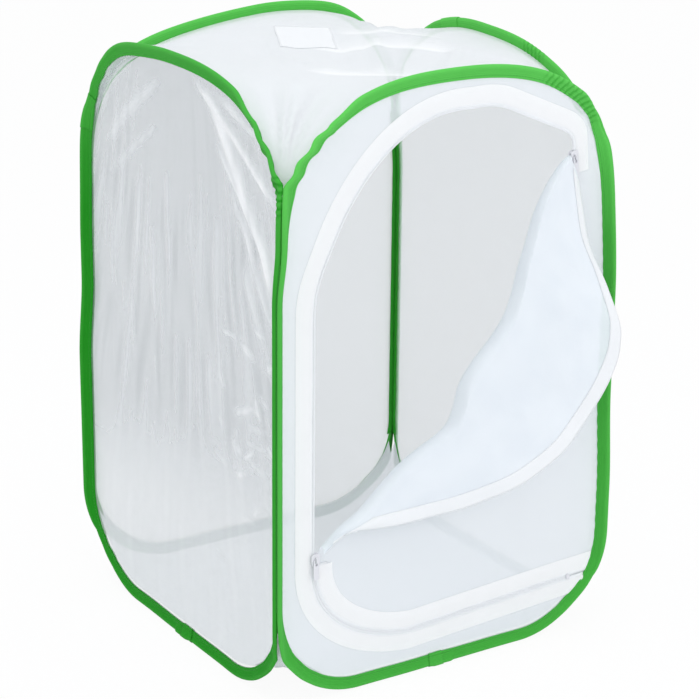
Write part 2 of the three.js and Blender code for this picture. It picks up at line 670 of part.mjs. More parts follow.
// Pull: a flat tongue with a window at its top, whose upper edge is the bar under the bridge.
function zipPull() {
  const [windowWidth, windowLength] = PULL_WINDOW;
  const tongue = roundedPlate(PULL_WIDTH, PULL_LENGTH, PULL_CORNER);
  const top = PULL_LENGTH / 2 - PULL_BAR;
  tongue.holes.push(new THREE.Path()
    .moveTo(-windowWidth / 2, top)
    .lineTo(-windowWidth / 2, top - windowLength)
    .lineTo(windowWidth / 2, top - windowLength)
    .lineTo(windowWidth / 2, top));
  const barToMiddle = (PULL_LENGTH - PULL_BAR) / 2;
  return extruded(tongue, PULL_THICKNESS, -PULL_THICKNESS / 2).translate(0, -barToMiddle, 0);
}

function zipStop() {
  const width = 2 * coilFar + 2 * CLEARANCE;
  const depth = COIL_THICKNESS + 2 * CLEARANCE;
  return extruded(roundedPlate(width, STOP_LENGTH, STOP_CORNER), depth, COIL_BACK - CLEARANCE);
}

// A wall turns about the middle of the cage: front, right, back, left.
function wall(turn, pieces) {
  const plane = new THREE.Group().add(...pieces);
  plane.rotation.x = Math.PI / 2;
  plane.position.y = -HALF_SPAN;
  const turned = new THREE.Group().add(plane);
  turned.rotation.z = turn;
  return turned;
}

const stations = hoopStations();

function hoop(side) {
  return [
    piece(`${side}_hoop_wire`, hoopWire(stations), springSteel),
    piece(`${side}_wire_sleeve`, wireSleeve(), springSteel),
    piece(`${side}_binding`, loft(stations.map(bindingSection), true), greenTape),
  ];
}

function frontPanel() {
  return fromManifold(toManifold(wallPanel(stations)).subtract(doorCut()));
}

function placed(mesh, at, out, turn) {
  mesh.position.set(at.x, at.y, out);
  mesh.rotation.z = turn;
  return mesh;
}

const legTurn = zipLegTop.clone().sub(zipStart).angle() - Math.PI / 2;
const endTurn = zipEnd.clone().sub(zipFloorStart).angle() - Math.PI / 2;

// Zip tapes and coils: one side on the front net, the other on the door, which is sewn shut below
// the lower slider and hangs free above it. The coils stop short of the end stops.
const stopSpace = STOP_LENGTH + CLEARANCE;
const frameCoilLine = zipStretch(stopSpace, ZIP_LENGTH - stopSpace);
const doorTapeLine = zipStretch(closedFrom, ZIP_LENGTH);
const doorCoilLine = zipStretch(closedFrom, ZIP_LENGTH - stopSpace);
const frameTape = band(zipPoints, TAPE_SETBACK, tapeFar, ZIP_TAPE_BACK, ZIP_TAPE_FRONT);
const frameCoil = band(frameCoilLine, coilNear, coilFar, COIL_BACK, COIL_FRONT);
const doorTape = band(doorTapeLine, -tapeFar, -TAPE_SETBACK, ZIP_TAPE_BACK, ZIP_TAPE_FRONT);
const doorCoil = band(doorCoilLine, -coilFar, -coilNear, COIL_BACK, COIL_FRONT);

const atLip = () => 1;
const flapTapeFront = -FLAP_LAYER_GAP;
const flapTapeBack = flapTapeFront - ZIP_TAPE_THICKNESS;
const flapCoilFront = flapTapeBack - FLAP_LAYER_GAP;
const flapCoilBack = flapCoilFront - COIL_THICKNESS;
const flap = flapSheet(() => FLAP_LIP, atLip, FLAP_ROWS, 0, PANEL_THICKNESS);
const flapTape = flapSheet(hangShare(ZIP_TAPE_WIDTH), atLip, 1, flapTapeBack, flapTapeFront);
const flapCoil = flapSheet(hangShare(COIL_WIDTH), atLip, 1, flapCoilBack, flapCoilFront);

const front = wall(0, [
  ...hoop('front'),
  piece('front_panel', frontPanel(), whiteNet),
  piece('zip_tape_frame', frameTape, whiteTape),
  piece('zip_coil_frame', frameCoil, whiteNylon),
  piece('zip_tape_door', doorTape, whiteTape),
  piece('zip_coil_door', doorCoil, whiteNylon),
  piece('door_fold', foldRoll(), whiteNet),
  piece('door_flap', flap, whiteNet),
  piece('zip_tape_flap', flapTape, whiteTape),
  piece('zip_coil_flap', flapCoil, whiteNylon),
  placed(piece('upper_slider', zipSlider(-1), zipMetal), upperSliderAt, 0, legTurn),
  placed(piece('upper_pull', zipPull(), zipMetal), upperSliderAt, PULL_AXIS, legTurn),
  placed(piece('lower_slider', zipSlider(1), zipMetal), lowerSliderAt, 0, 0),
  placed(piece('lower_pull', zipPull(), zipMetal), lowerSliderAt, PULL_AXIS, 0),
  placed(piece('upper_zip_stop', zipStop(), zipMetal), zipPoint(STOP_LENGTH / 2), 0, legTurn),
  placed(piece('lower_zip_stop', zipStop(), zipMetal), zipPoint(ZIP_LENGTH - STOP_LENGTH / 2), 0, endTurn),
]);
const right = wall(Math.PI / 2, [...hoop('right'), piece('right_panel', wallPanel(stations), whiteNet)]);
const back = wall(Math.PI, [...hoop('back'), piece('back_panel', wallPanel(stations), whiteNet)]);
const left = wall(-Math.PI / 2, [...hoop('left'), piece('left_window', wallPanel(stations), clearFilm)]);

// Corner seams: the thread line that each pair of walls folds on. The front left and back right
// corners are sewn along the tips of the bindings, the other two along their lips.
const tipSeam = HALF_SPAN + (BINDING_WIDTH - THREAD_INSET) * Math.SQRT1_2;
const lipSeam = HALF_SPAN - THREAD_RADIUS - CLEARANCE;
const seamFoot = FOOT_TOP + SEAM_END_MARGIN;
const seamTop = ARCH_FOOT - SEAM_END_MARGIN;

function seam(name, x, y) {
  const length = seamTop - seamFoot;
  const thread = new THREE.CylinderGeometry(THREAD_RADIUS, THREAD_RADIUS, length, 8);
  const mesh = piece(name, thread.rotateX(Math.PI / 2), greenThread);
  mesh.position.set(x, y, (seamFoot + seamTop) / 2);
  return mesh;
}

const seams = [
  seam('front_left_seam', -tipSeam, -tipSeam),
  seam('back_right_seam', tipSeam, tipSeam),
  seam('front_right_seam', lipSeam, -lipSeam),
  seam('back_left_seam', -lipSeam, lipSeam),
];

const topPanel = piece('top_panel', stretchedPanel(topHeight), whiteNet);
const floorPanel = piece('floor_panel', stretchedPanel(floorHeight), whiteNet);

function ribbonTab() {
  const shares = [-0.5, -0.25, 0, 0.25, 0.5];
  const middle = new THREE.Vector2(...RIBBON_PLACE);
  const corner = (across, along) => {
    const flat = new THREE.Vector2(across * RIBBON_LENGTH, along * RIBBON_WIDTH);
    return flat.rotateAround(new THREE.Vector2(), RIBBON_TURN).add(middle);
  };
  const layer = (lift) => shares.map((along) => shares.map((across) => {
    const { x, y } = corner(across, -along);
    return new THREE.Vector3(x, y, topHeight(x / HALF_SPAN, y / HALF_SPAN) + lift);
  }));
  const seat = PANEL_THICKNESS + CLEARANCE;
  return sheet(layer(seat), layer(seat + RIBBON_THICKNESS));
}

const habitat = new THREE.Group();
habitat.add(front, right, back, left, ...seams, topPanel, floorPanel);
habitat.add(piece('ribbon_tab', ribbonTab(), whiteTape));

export default habitat;
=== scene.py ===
# Pop-up butterfly habitat: a square net cage on spring wire hoops, with its net door hanging open.
# Millimetres in the working values, metres in the meshes. Front towards -Y, clear window towards -X.

import math

import bpy
import numpy as np
from mathutils import Matrix, Vector
from mathutils.geometry import delaunay_2d_cdt


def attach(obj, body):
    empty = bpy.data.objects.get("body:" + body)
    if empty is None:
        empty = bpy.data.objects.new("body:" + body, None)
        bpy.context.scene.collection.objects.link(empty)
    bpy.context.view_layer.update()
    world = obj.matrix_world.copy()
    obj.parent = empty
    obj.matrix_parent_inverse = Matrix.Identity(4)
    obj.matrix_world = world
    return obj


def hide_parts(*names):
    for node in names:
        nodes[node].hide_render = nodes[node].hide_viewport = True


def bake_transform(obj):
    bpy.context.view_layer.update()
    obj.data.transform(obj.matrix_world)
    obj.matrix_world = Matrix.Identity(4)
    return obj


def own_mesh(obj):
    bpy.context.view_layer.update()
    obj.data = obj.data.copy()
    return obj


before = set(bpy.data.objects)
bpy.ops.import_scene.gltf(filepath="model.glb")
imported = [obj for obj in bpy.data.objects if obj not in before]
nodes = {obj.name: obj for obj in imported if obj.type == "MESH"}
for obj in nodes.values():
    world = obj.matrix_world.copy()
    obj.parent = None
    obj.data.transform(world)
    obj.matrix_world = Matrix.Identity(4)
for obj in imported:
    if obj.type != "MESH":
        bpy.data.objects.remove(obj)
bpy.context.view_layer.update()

# Camera
# A long lens a little above the cage, off its front left corner, at the photograph's angle.
azimuth, elevation, roll = math.radians(-32.98), math.radians(18.8), math.radians(0.59)
level = Vector((math.cos(azimuth), math.sin(azimuth), 0))
behind = math.cos(elevation) * Vector((level.y, -level.x, 0)) + math.sin(elevation) * Vector((0, 0, 1))
upright = behind.cross(level)
sideways = math.cos(roll) * level + math.sin(roll) * upright
upwards = -math.sin(roll) * level + math.cos(roll) * upright
lens = bpy.data.cameras.new("camera")
lens.sensor_width = 36
lens.lens = 117.93
lens.shift_x = -0.0020
lens.shift_y = -0.0018
lens.clip_end = 50
camera = bpy.data.objects.new("camera", lens)
bpy.context.collection.objects.link(camera)
camera.matrix_world = Matrix((
    (sideways.x, upwards.x, behind.x, -1.22239),
    (sideways.y, upwards.y, behind.y, -1.90157),
    (sideways.z, upwards.z, behind.z, 1.05056),
    (0, 0, 0, 1),
))
bpy.context.scene.camera = camera

# Studio
# A white floor that keeps a faint shadow, a white surround, a large soft light overhead, a weak one
# from the front left and a stronger one from the front right.
bpy.context.scene.view_settings.view_transform = "Standard"


def node(tree, kind, links=(), **values):
    """A node with its settings and plain inputs, and the sockets that feed it."""
    made = tree.nodes.new("ShaderNode" + kind)
    for key, value in values.items():
        if hasattr(made, key):
            setattr(made, key, value)
        else:
            made.inputs[key.replace("_", " ")].default_value = value
    for socket, source in links:
        tree.links.new(source, made.inputs[socket])
    return made


def worked(tree, operation, *terms, clamped=False):
    """A sum on sockets and plain numbers."""
    made = node(tree, "Math", operation=operation, use_clamp=clamped)
    for socket, term in zip(made.inputs, terms):
        if isinstance(term, float):
            socket.default_value = term
        else:
            tree.links.new(term, socket)
    return made.outputs[0]


def seen_directly(tree):
    """1 for rays that the eye, a reflection or a clear surface sends, 0 for rays that gather light."""
    path = node(tree, "LightPath").outputs
    reflected = worked(tree, "MAXIMUM", path["Is Camera Ray"], path["Is Glossy Ray"])
    return worked(tree, "MAXIMUM", reflected, path["Is Transmission Ray"])


world = bpy.data.worlds.new("white_surround")
bpy.context.scene.world = world
world.use_nodes = True
tree = world.node_tree
tree.nodes.clear()
surround = node(tree, "Background", Color=(1, 1, 1, 1))
soft = node(tree, "Background", Color=(0.96, 0.98, 1, 1), Strength=0.84)
choice = node(tree, "MixShader", [("Fac", seen_directly(tree)), (1, soft.outputs[0]), (2, surround.outputs[0])])
node(tree, "OutputWorld", [("Surface", choice.outputs[0])])

bpy.ops.object.select_all(action="DESELECT")
bpy.ops.mesh.primitive_plane_add(size=24, location=(0, 0, -0.0005))
floor = bpy.context.object
floor.name = "studio_floor"
floor_paint = bpy.data.materials.new("studio_floor")
floor_paint.use_nodes = True
tree = floor_paint.node_tree
tree.nodes.clear()
matt = node(tree, "BsdfDiffuse", Color=(0.96, 0.96, 0.97, 1))
glow = node(tree, "Emission", Color=(1, 1, 1, 1))
share = worked(tree, "MULTIPLY", seen_directly(tree), 0.93)
choice = node(tree, "MixShader", [("Fac", share), (1, matt.outputs[0]), (2, glow.outputs[0])])
node(tree, "OutputMaterial", [("Surface", choice.outputs[0])])
floor.data.materials.append(floor_paint)

for name, place, size, power in (
    ("overhead_light", (-0.5, -0.4, 2.5), 1.3, 11),
    ("key_light", (-1.9, -1.9, 1.7), 1.3, 3),
    ("side_light", (1.6, -2.2, 1.5), 1.1, 7),
):
    lamp = bpy.data.lights.new(name, "AREA")
    lamp.size = size
    lamp.energy = power
    lit = bpy.data.objects.new(name, lamp)
    bpy.context.collection.objects.link(lit)
    lit.location = place
    lit.rotation_euler = (Vector((0, 0, 0.3)) - Vector(place)).to_track_quat("-Z", "Y").to_euler()


# Spring wire hoops and their joining sleeves
# Bare spring steel wire, bent to a rounded rectangle for each wall, its ends pushed into a pressed
# steel sleeve at the middle of the foot. Both lie inside the binding.
def finish_of(name, **values):
    """A material with one shader, its plain values set on its sockets."""
    material = bpy.data.materials.new(name)
    material.use_nodes = True
    shader = material.node_tree.nodes["Principled BSDF"]
    for socket, value in values.items():
        shader.inputs[socket.replace("_", " ")].default_value = value
    return material, material.node_tree, shader


def bump_from(tree, shader, height, strength, depth):
    """Small relief on a surface, its depth in metres."""
    relief = node(tree, "Bump", [("Height", height)], Strength=strength, Distance=depth)
    tree.links.new(relief.outputs["Normal"], shader.inputs["Normal"])


def noise(tree, place, scale, detail):
    """Soft random values by place."""
    return node(tree, "TexNoise", [("Vector", place)], Scale=scale, Detail=detail).outputs["Fac"]


def shades(tree, share, low, high, middle=None):
    """Colours, each with its place, that share runs through from low to high."""
    made = node(tree, "ValToRGB", [("Fac", share)])
    stops = made.color_ramp.elements
    for stop, (place, colour) in zip(stops, (low, high)):
        stop.position, stop.color = place, (*colour, 1)
    if middle:
        stops.new(middle[0]).color = (*middle[1], 1)
    return made.outputs["Color"]


def coloured(tree, shader, *stops):
    """Makes shades a surface's colour."""
    tree.links.new(shades(tree, *stops), shader.inputs["Base Color"])


steel, tree, shader = finish_of("spring_steel", Base_Color=(0.52, 0.53, 0.54, 1), Metallic=1.0, Roughness=0.34)
place = node(tree, "TexCoord").outputs["Object"]
bump_from(tree, shader, noise(tree, place, 900.0, 2.0), 0.3, 0.0001)
walls = ("front", "right", "back", "left")
for wall in walls:
    nodes[f"{wall}_wire_sleeve"].data.materials.clear()
    nodes[f"{wall}_wire_sleeve"].data.materials.append(steel)

# Bindings
# Bright green polyester tape, folded lengthways round the hoop wire and the edge of the wall, and
# sewn along its lips. At the corners two bindings stand face to face; where they part, the tape
# has to twist back into its wall, and its sewn edge puckers there.
HALF = 190.0
TOP_LIP, ARCH, FULLNESS = 600.0, 145.0, 2.45
FOOT_LIP, FOOT_RADIUS = 13.0, 91.0
TAPE = 13.0
ARCH_FOOT, FOOT_TOP = TOP_LIP - ARCH, FOOT_LIP + FOOT_RADIUS


def hoop_line(count):
    """Points round a hoop from the middle of its foot: x, z, the way out of the hoop, and length."""
    turn = np.linspace(-90, 0, 40) * math.pi / 180
    swing = np.linspace(0, 90, 160) * math.pi / 180
    bow_x = HALF * np.cos(swing) ** (2 / FULLNESS)
    bow_z = ARCH * np.sin(swing) ** (2 / FULLNESS)
    x = np.concatenate([[0], HALF - FOOT_RADIUS + FOOT_RADIUS * np.cos(turn), np.full(60, HALF), bow_x])
    rise = np.linspace(FOOT_TOP, ARCH_FOOT, 62)[1:-1]
    z = np.concatenate([[FOOT_LIP], FOOT_TOP + FOOT_RADIUS * np.sin(turn), rise, ARCH_FOOT + bow_z])
    out_x = np.concatenate([[0], np.cos(turn), np.ones(60), (bow_x / HALF) ** (FULLNESS - 1) / HALF])
    out_z = np.concatenate([[-1], np.sin(turn), np.zeros(60), (bow_z / ARCH) ** (FULLNESS - 1) / ARCH])
    x = np.concatenate([x, -x[-2::-1]])
    z = np.concatenate([z, z[-2::-1]])
    out_x = np.concatenate([out_x, -out_x[-2::-1]])
    out_z = np.concatenate([out_z, out_z[-2::-1]])
    size = np.hypot(out_x, out_z)
    length = np.concatenate([[0], np.cumsum(np.hypot(np.diff(x), np.diff(z)))])
    even = np.linspace(0, length[-1], count)
    line = [np.interp(even, length, values) for values in (x, z, out_x / size, out_z / size)]
    return (*line, even)


def bell(value, low, high, ease):
    """1 between low and high, falling smoothly to 0 over ease on both sides."""
    rise = np.clip((value - low) / ease + 1, 0, 1)
    fall = np.clip((high - value) / ease + 1, 0, 1)
    return rise * rise * (3 - 2 * rise) * fall * fall * (3 - 2 * fall)


def unit(vectors):
    """Vectors of length 1."""
    return vectors / np.maximum(1e-12, np.linalg.norm(vectors, axis=-1, keepdims=True))


def gathers(length, reach):
    """Where along its small slanting gathers a stretch of crimped tape is."""
    return length / 6.4 * 2 * math.pi + reach / 3


def taped(x, z, out_x, out_z, length, reach, depth, seed, slack, crimped):
    """A point of the binding: reach from its lip to the folded edge, depth from its inner face.

    Where two hoops part, the tape turns back into its wall, ripples and puckers; below that the tips
    of two neighbouring tapes meet.
    """
    inward = np.maximum(0, HALF - np.abs(x))
    ease = np.where(x < 0, *slack) * (z > 300)
    pressed = np.arccos(np.minimum(math.sqrt(0.5), inward / (TAPE * math.sqrt(2)))) - math.pi / 4
    turn = np.maximum(pressed, math.radians(25) * bell(inward, 28, 58, 30) * ease)
    loose = 0.6 + 0.4 * np.clip(1 - reach / TAPE, 0, 1.1)
    high = bell(inward, 16, 46, 9) * ease
    low = bell(inward, 20, 40, 8) * (z < 200) * 0.22
    ripple = length / 27 * 2 * math.pi + seed + 1.3 * np.sin(length / 41 + seed)
    sway = (np.sin(length / 37 + 2 * seed) + 0.6 * np.sin(length / 13.3 + seed)) * np.clip(inward / 12, 0.15, 1)
    reach = reach + loose * ((high + low) * 1.15 * np.sin(ripple) + 0.2 * sway)
    depth = depth + loose * ((high + low) * 1.9 * np.cos(ripple * 0.94 - reach / 7) + 0.22 * sway)
    depth = depth + 0.6 * loose * bell(length, *crimped, 14) * np.sin(gathers(length, reach))
    depth = depth * (1 + 0.22 * bell(z, 450, 520, 40) * bell(inward, 0, 9, 9) * ease)
    in_wall = reach * np.cos(turn) - depth * np.sin(turn)
    meeting = (1 - np.abs(out_x)) * in_wall * np.clip(2 - inward / 8, 0, 1)
    meeting = meeting + np.minimum(0.2 * inward, 1.3) * np.clip((15 - inward) / 5, 0, 1) * np.clip(reach / 6, 0, 1)
    along = x + in_wall * out_x + np.sign(x) * meeting * (z > 300)
    return np.stack([along, reach * np.sin(turn) + depth * np.cos(turn), z + in_wall * out_z], -1)


def smooth_step(value):
    """0 below 0, 1 above 1 and smooth between."""
    value = np.clip(value, 0, 1)
    return value * value * (3 - 2 * value)


def settled(x, y, z):
    """Millimetres to metres, with the small ways in which the sprung cage stands out of true."""
    rear = smooth_step((y + 60) / 220)
    # the cloth of the top draws the front left corner to the right
    move_x = 4.8 * bell(z, 468, 700, 58) * smooth_step(1.2 - np.hypot(x + HALF, y + HALF) / 160)
    # the right wall spreads at its foot and comes in at its shoulder, and its hoop leans in and sinks
    spread = 4.5 * bell(z, 60, 150, 110) - 10 * smooth_step((z - 360) / 170)
    move_x = move_x + smooth_step((x - 152) / 38) * (spread + (4.5 * bell(z, 60, 400, 80) - spread) * rear)
    crown = smooth_step((x - 60) / 120) * smooth_step((HALF - np.abs(y)) / 45)
    crown = crown * smooth_step((z - ARCH_FOOT) / 130)
    move_x = move_x - 9 * crown * (1 - 0.7 * rear)
    move_z = -8 * crown
    # the left wall spreads at the back, where its hoop has a fuller shoulder
    spread = 2 * smooth_step((z - 380) / 100) - 5 * bell(z, 100, 250, 90)
    move_x = move_x + smooth_step((-x - 152) / 38) * rear * spread
    shoulder = np.exp(-(((y - 130) / 45) ** 2)) * smooth_step((z - 500) / 50) * smooth_step((-x - 120) / 50)
    # the back hoop is lower on the left than on the right
    uneven = 6 * np.exp(-(((x - 125) / 50) ** 2)) - 8.5 * np.exp(-(((x + 70) / 80) ** 2))
    move_z = move_z + 7 * shoulder + uneven * smooth_step((y - 120) / 60) * smooth_step((z - 520) / 60)
    return np.stack([x + move_x, y + 4 * shoulder, z + move_z], -1) * 0.001


def on_wall(points, turns):
    """Wall coordinates (along, outwards, up) in millimetres to the frame in metres, quarter turns round."""
    x, y, z = points[..., 0], -(HALF + points[..., 1]), points[..., 2]
    for _ in range(turns):
        x, y = -y, x
    return settled(x, y, z)


def mapped(mesh, flat, marks):
    """Lays a mesh's UV map by flat points in millimetres, and gives it values to carry at its points."""
    corner = np.empty(len(mesh.loops), int)
    mesh.loops.foreach_get("vertex_index", corner)
    mesh.uv_layers.active.data.foreach_set("uv", (flat[corner] * 0.001).ravel())
    for mark, values in marks.items():
        kind, field = ("FLOAT", "value") if values.ndim == 1 else ("FLOAT_VECTOR", "vector")
        mesh.attributes.new(mark, kind, "POINT").data.foreach_set(field, values.astype(np.float32).ravel())


def laid_grid(name, across, along, place, size, **marks):
    """A grid whose points are laid by place(u, v); its UV map holds real lengths in metres."""
    bpy.ops.object.select_all(action="DESELECT")
    bpy.ops.mesh.primitive_grid_add(x_subdivisions=across, y_subdivisions=along, size=1)
    piece = bpy.context.object
    piece.name = name
    mesh = piece.data
    mesh.name = name
    flat = np.empty(len(mesh.vertices) * 3)
    mesh.vertices.foreach_get("co", flat)
    uv = flat.reshape(-1, 3)[:, :2] + 0.5
    mesh.vertices.foreach_set("co", place(uv[:, 0], uv[:, 1]).ravel())
    mapped(mesh, uv * np.array(size), {mark: amount(uv[:, 0], uv[:, 1]) for mark, amount in marks.items()})
    mesh.update()
    bpy.ops.object.shade_smooth()
    return piece


def picked(piece):
    """Makes a piece the one that the next operators work on."""
    bpy.ops.object.select_all(action="DESELECT")
    bpy.context.view_layer.objects.active = piece
    piece.select_set(True)


def closed_up(piece, distance=0.00002):
    """Merges the meeting edges of a piece and turns its faces outwards."""
    picked(piece)
    bpy.ops.object.mode_set(mode="EDIT")
    bpy.ops.mesh.select_all(action="SELECT")
    bpy.ops.mesh.remove_doubles(threshold=distance)
    bpy.ops.mesh.normals_make_consistent(inside=False)
    bpy.ops.object.mode_set(mode="OBJECT")


def thickened(piece, thickness):
    """Gives a sheet its thickness and closes it."""
    picked(piece)
    ply = piece.modifiers.new("ply", "SOLIDIFY")
    ply.thickness = thickness
    ply.offset = 0
    bpy.ops.object.modifier_apply(modifier="ply")
    closed_up(piece)


def dressed(piece, finish, body, slot, *replaced):
    """Gives a piece its finish, its body and the solids that it stands for; slot is not used."""
    piece.data.materials.append(finish)
    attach(piece, body)
    if replaced:
        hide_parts(*replaced)


def in_millimetres(tree):
    """A piece's own UV map, which holds metres, in millimetres."""
    return node(tree, "VectorMath", [(0, node(tree, "UVMap").outputs[0])], operation="SCALE", Scale=1000.0).outputs[0]


def ranged(tree, value, low, high, start=0.0, end=1.0):
    """A value that runs from low to high while another runs from start to end."""
    made = node(tree, "MapRange", [("Value", value)], From_Min=start, From_Max=end, To_Min=low, To_Max=high)
    return made.outputs[0]


def mark_of(tree, name):
    """A value that a mesh carries at its points."""
    return node(tree, "Attribute", attribute_name=name).outputs["Fac"]


binding_green, tree, shader = finish_of("binding_green", Roughness=0.68, Sheen_Weight=0.03, Sheen_Roughness=0.4)
shader.inputs["Sheen Tint"].default_value = (0.6, 1, 0.5, 1)
shader.inputs["Specular IOR Level"].default_value = 0.12
thread_mm = in_millimetres(tree)
weft = node(tree, "TexWave", [("Vector", thread_mm)], Scale=0.36, Distortion=0.5, Detail=1.0, bands_direction="Y")
warp = node(tree, "TexWave", [("Vector", thread_mm)], Scale=0.3, Distortion=0.4, Detail=1.0, bands_direction="X")
weave = worked(tree, "MULTIPLY", weft.outputs["Fac"], warp.outputs["Fac"])
mottled = ranged(tree, noise(tree, thread_mm, 0.035, 4.0), -0.05, 0.05)
# the tape's colour runs from dark to pale green with its painted light, and is mottled at random
paler = worked(tree, "ADD", mark_of(tree, "folded_edge"), mottled, clamped=True)
tint = shades(tree, paler, (0, (0.016, 0.330, 0.014)), (1, (0.145, 0.730, 0.122)))
dim = ranged(tree, weave, 0.80, 1.06)
green = node(tree, "VectorMath", [(0, tint), ("Scale", dim)], operation="SCALE")
tree.links.new(green.outputs[0], shader.inputs["Base Color"])
bump_from(tree, shader, weave, 0.55, 0.00022)

sewing_green, tree, shader = finish_of("sewing_green", Roughness=0.55)
place = node(tree, "TexCoord").outputs["Object"]
twist = node(tree, "TexWave", [("Vector", place)], Scale=420.0, bands_direction="DIAGONAL").outputs["Fac"]
coloured(tree, shader, twist, (0, (0.025, 0.27, 0.03)), (1, (0.07, 0.50, 0.07)))
bump_from(tree, shader, twist, 0.4, 0.0001)

WIRE_RADIUS, WIRE_REACH, WIRE_DEPTH = 1.0, 10.8, 2.35
# section of the folded tape, from the lip along the inner face, round the wire and back
bead_turn = np.radians(np.linspace(-80, 100, 9))
bead = [(WIRE_REACH + 2.2 * math.cos(a), WIRE_DEPTH + 2.2 * math.sin(a)) for a in bead_turn]
section = [(0.1, 0.9), (0.0, 0.45), (0.3, 0.15), (2.2, 0.12), (2.5, 0.34), (2.8, 0.12), (5.4, 0.2), (8.2, 0.12)]
section += bead + [(8.5, 4.05), (7.3, 3.45), (5.6, 2.98), (2.8, 2.9), (2.5, 2.62), (2.2, 2.9), (0.3, 2.85)]
section += [(0.0, 2.55), (0.1, 2.1), (0.45, 1.5), (0.1, 0.9)]
section = np.array(section)
girth = np.concatenate([[0], np.cumsum(np.hypot(*np.diff(section, axis=0).T))])
STATIONS, RINGS = 1000, len(section) - 1
SEWN_REACH, STITCH_PITCH = 2.5, 3.5
hoop = hoop_line(STATIONS + 1)
around = hoop[4][-1]


def hoop_at(length):
    """The hoop line at lengths round it."""
    return [np.interp(length, hoop[4], line) for line in hoop]


def tape_swell(x, z, reach, depth):
    """The bump over the wire sleeve."""
    sleeve = bell(np.abs(x), 0, 9, 6) * (z < 100) * np.clip(reach / 9, 0, 1)
    return depth + 2.0 * sleeve * np.clip(depth / 4, 0.1, 1)


# for each wall: laps by start and length, slack of its two shoulders, crimped stretch, and the level of painted light
# on its uprights and on its arches
laps = {"front": [(1718, 20)], "right": [(774, 34)], "back": [(520, 30)], "left": [(1063, 34), (1, 19)]}
slacks = {"front": (1, 0.35), "right": (0.4, 0.3), "back": (0.3, 0.3), "left": (0.3, 1)}
crimps = {"front": (690, 756), "right": (940, 960), "back": (-90, -80), "left": (640, 660)}
painted_light_levels = {"front": (0.42, 0.82), "right": (0.40, 0.62), "back": (0.40, 0.66), "left": (0.0, 0.30)}
away_from_tape = unit(np.gradient(section, axis=0)) @ np.array([(0, -1), (1, 0)])
lapped_section = section + 0.5 * away_from_tape
stitch = np.array([(-1.25, 0, 0), (0, -0.3, 0), (0, 0, 0.24), (0, 0.3, 0), (1.25, 0, 0), (0, 0, -0.2)])
stitch_faces = np.array([(0, 1, 2), (0, 2, 3), (4, 2, 1), (4, 3, 2), (0, 3, 5), (0, 5, 1), (4, 5, 3), (4, 1, 5)])


def loose_ends(wall):
    """What makes a wall's tape its own: the seed of its ripples, its slack and its crimped stretch."""
    return 1.7 * walls.index(wall), slacks[wall], crimps[wall]


def row_of(name, shape, faces, centres, along, side, out):
    """One small shape copied along a line, each copy turned to the line there."""
    points = sum(shape[None, :, k, None] * axis[:, None, :] for k, axis in enumerate((along, side, out)))
    points = (points + centres[:, None, :]).reshape(-1, 3)
    steps = np.arange(len(centres))[:, None, None] * len(shape)
    mesh = bpy.data.meshes.new(name)
    mesh.from_pydata(points.tolist(), [], (faces[None] + steps).reshape(-1, faces.shape[1]).tolist())
    piece = bpy.data.objects.new(name, mesh)
    bpy.context.collection.objects.link(piece)
    closed_up(piece, 1e-7)
    return piece


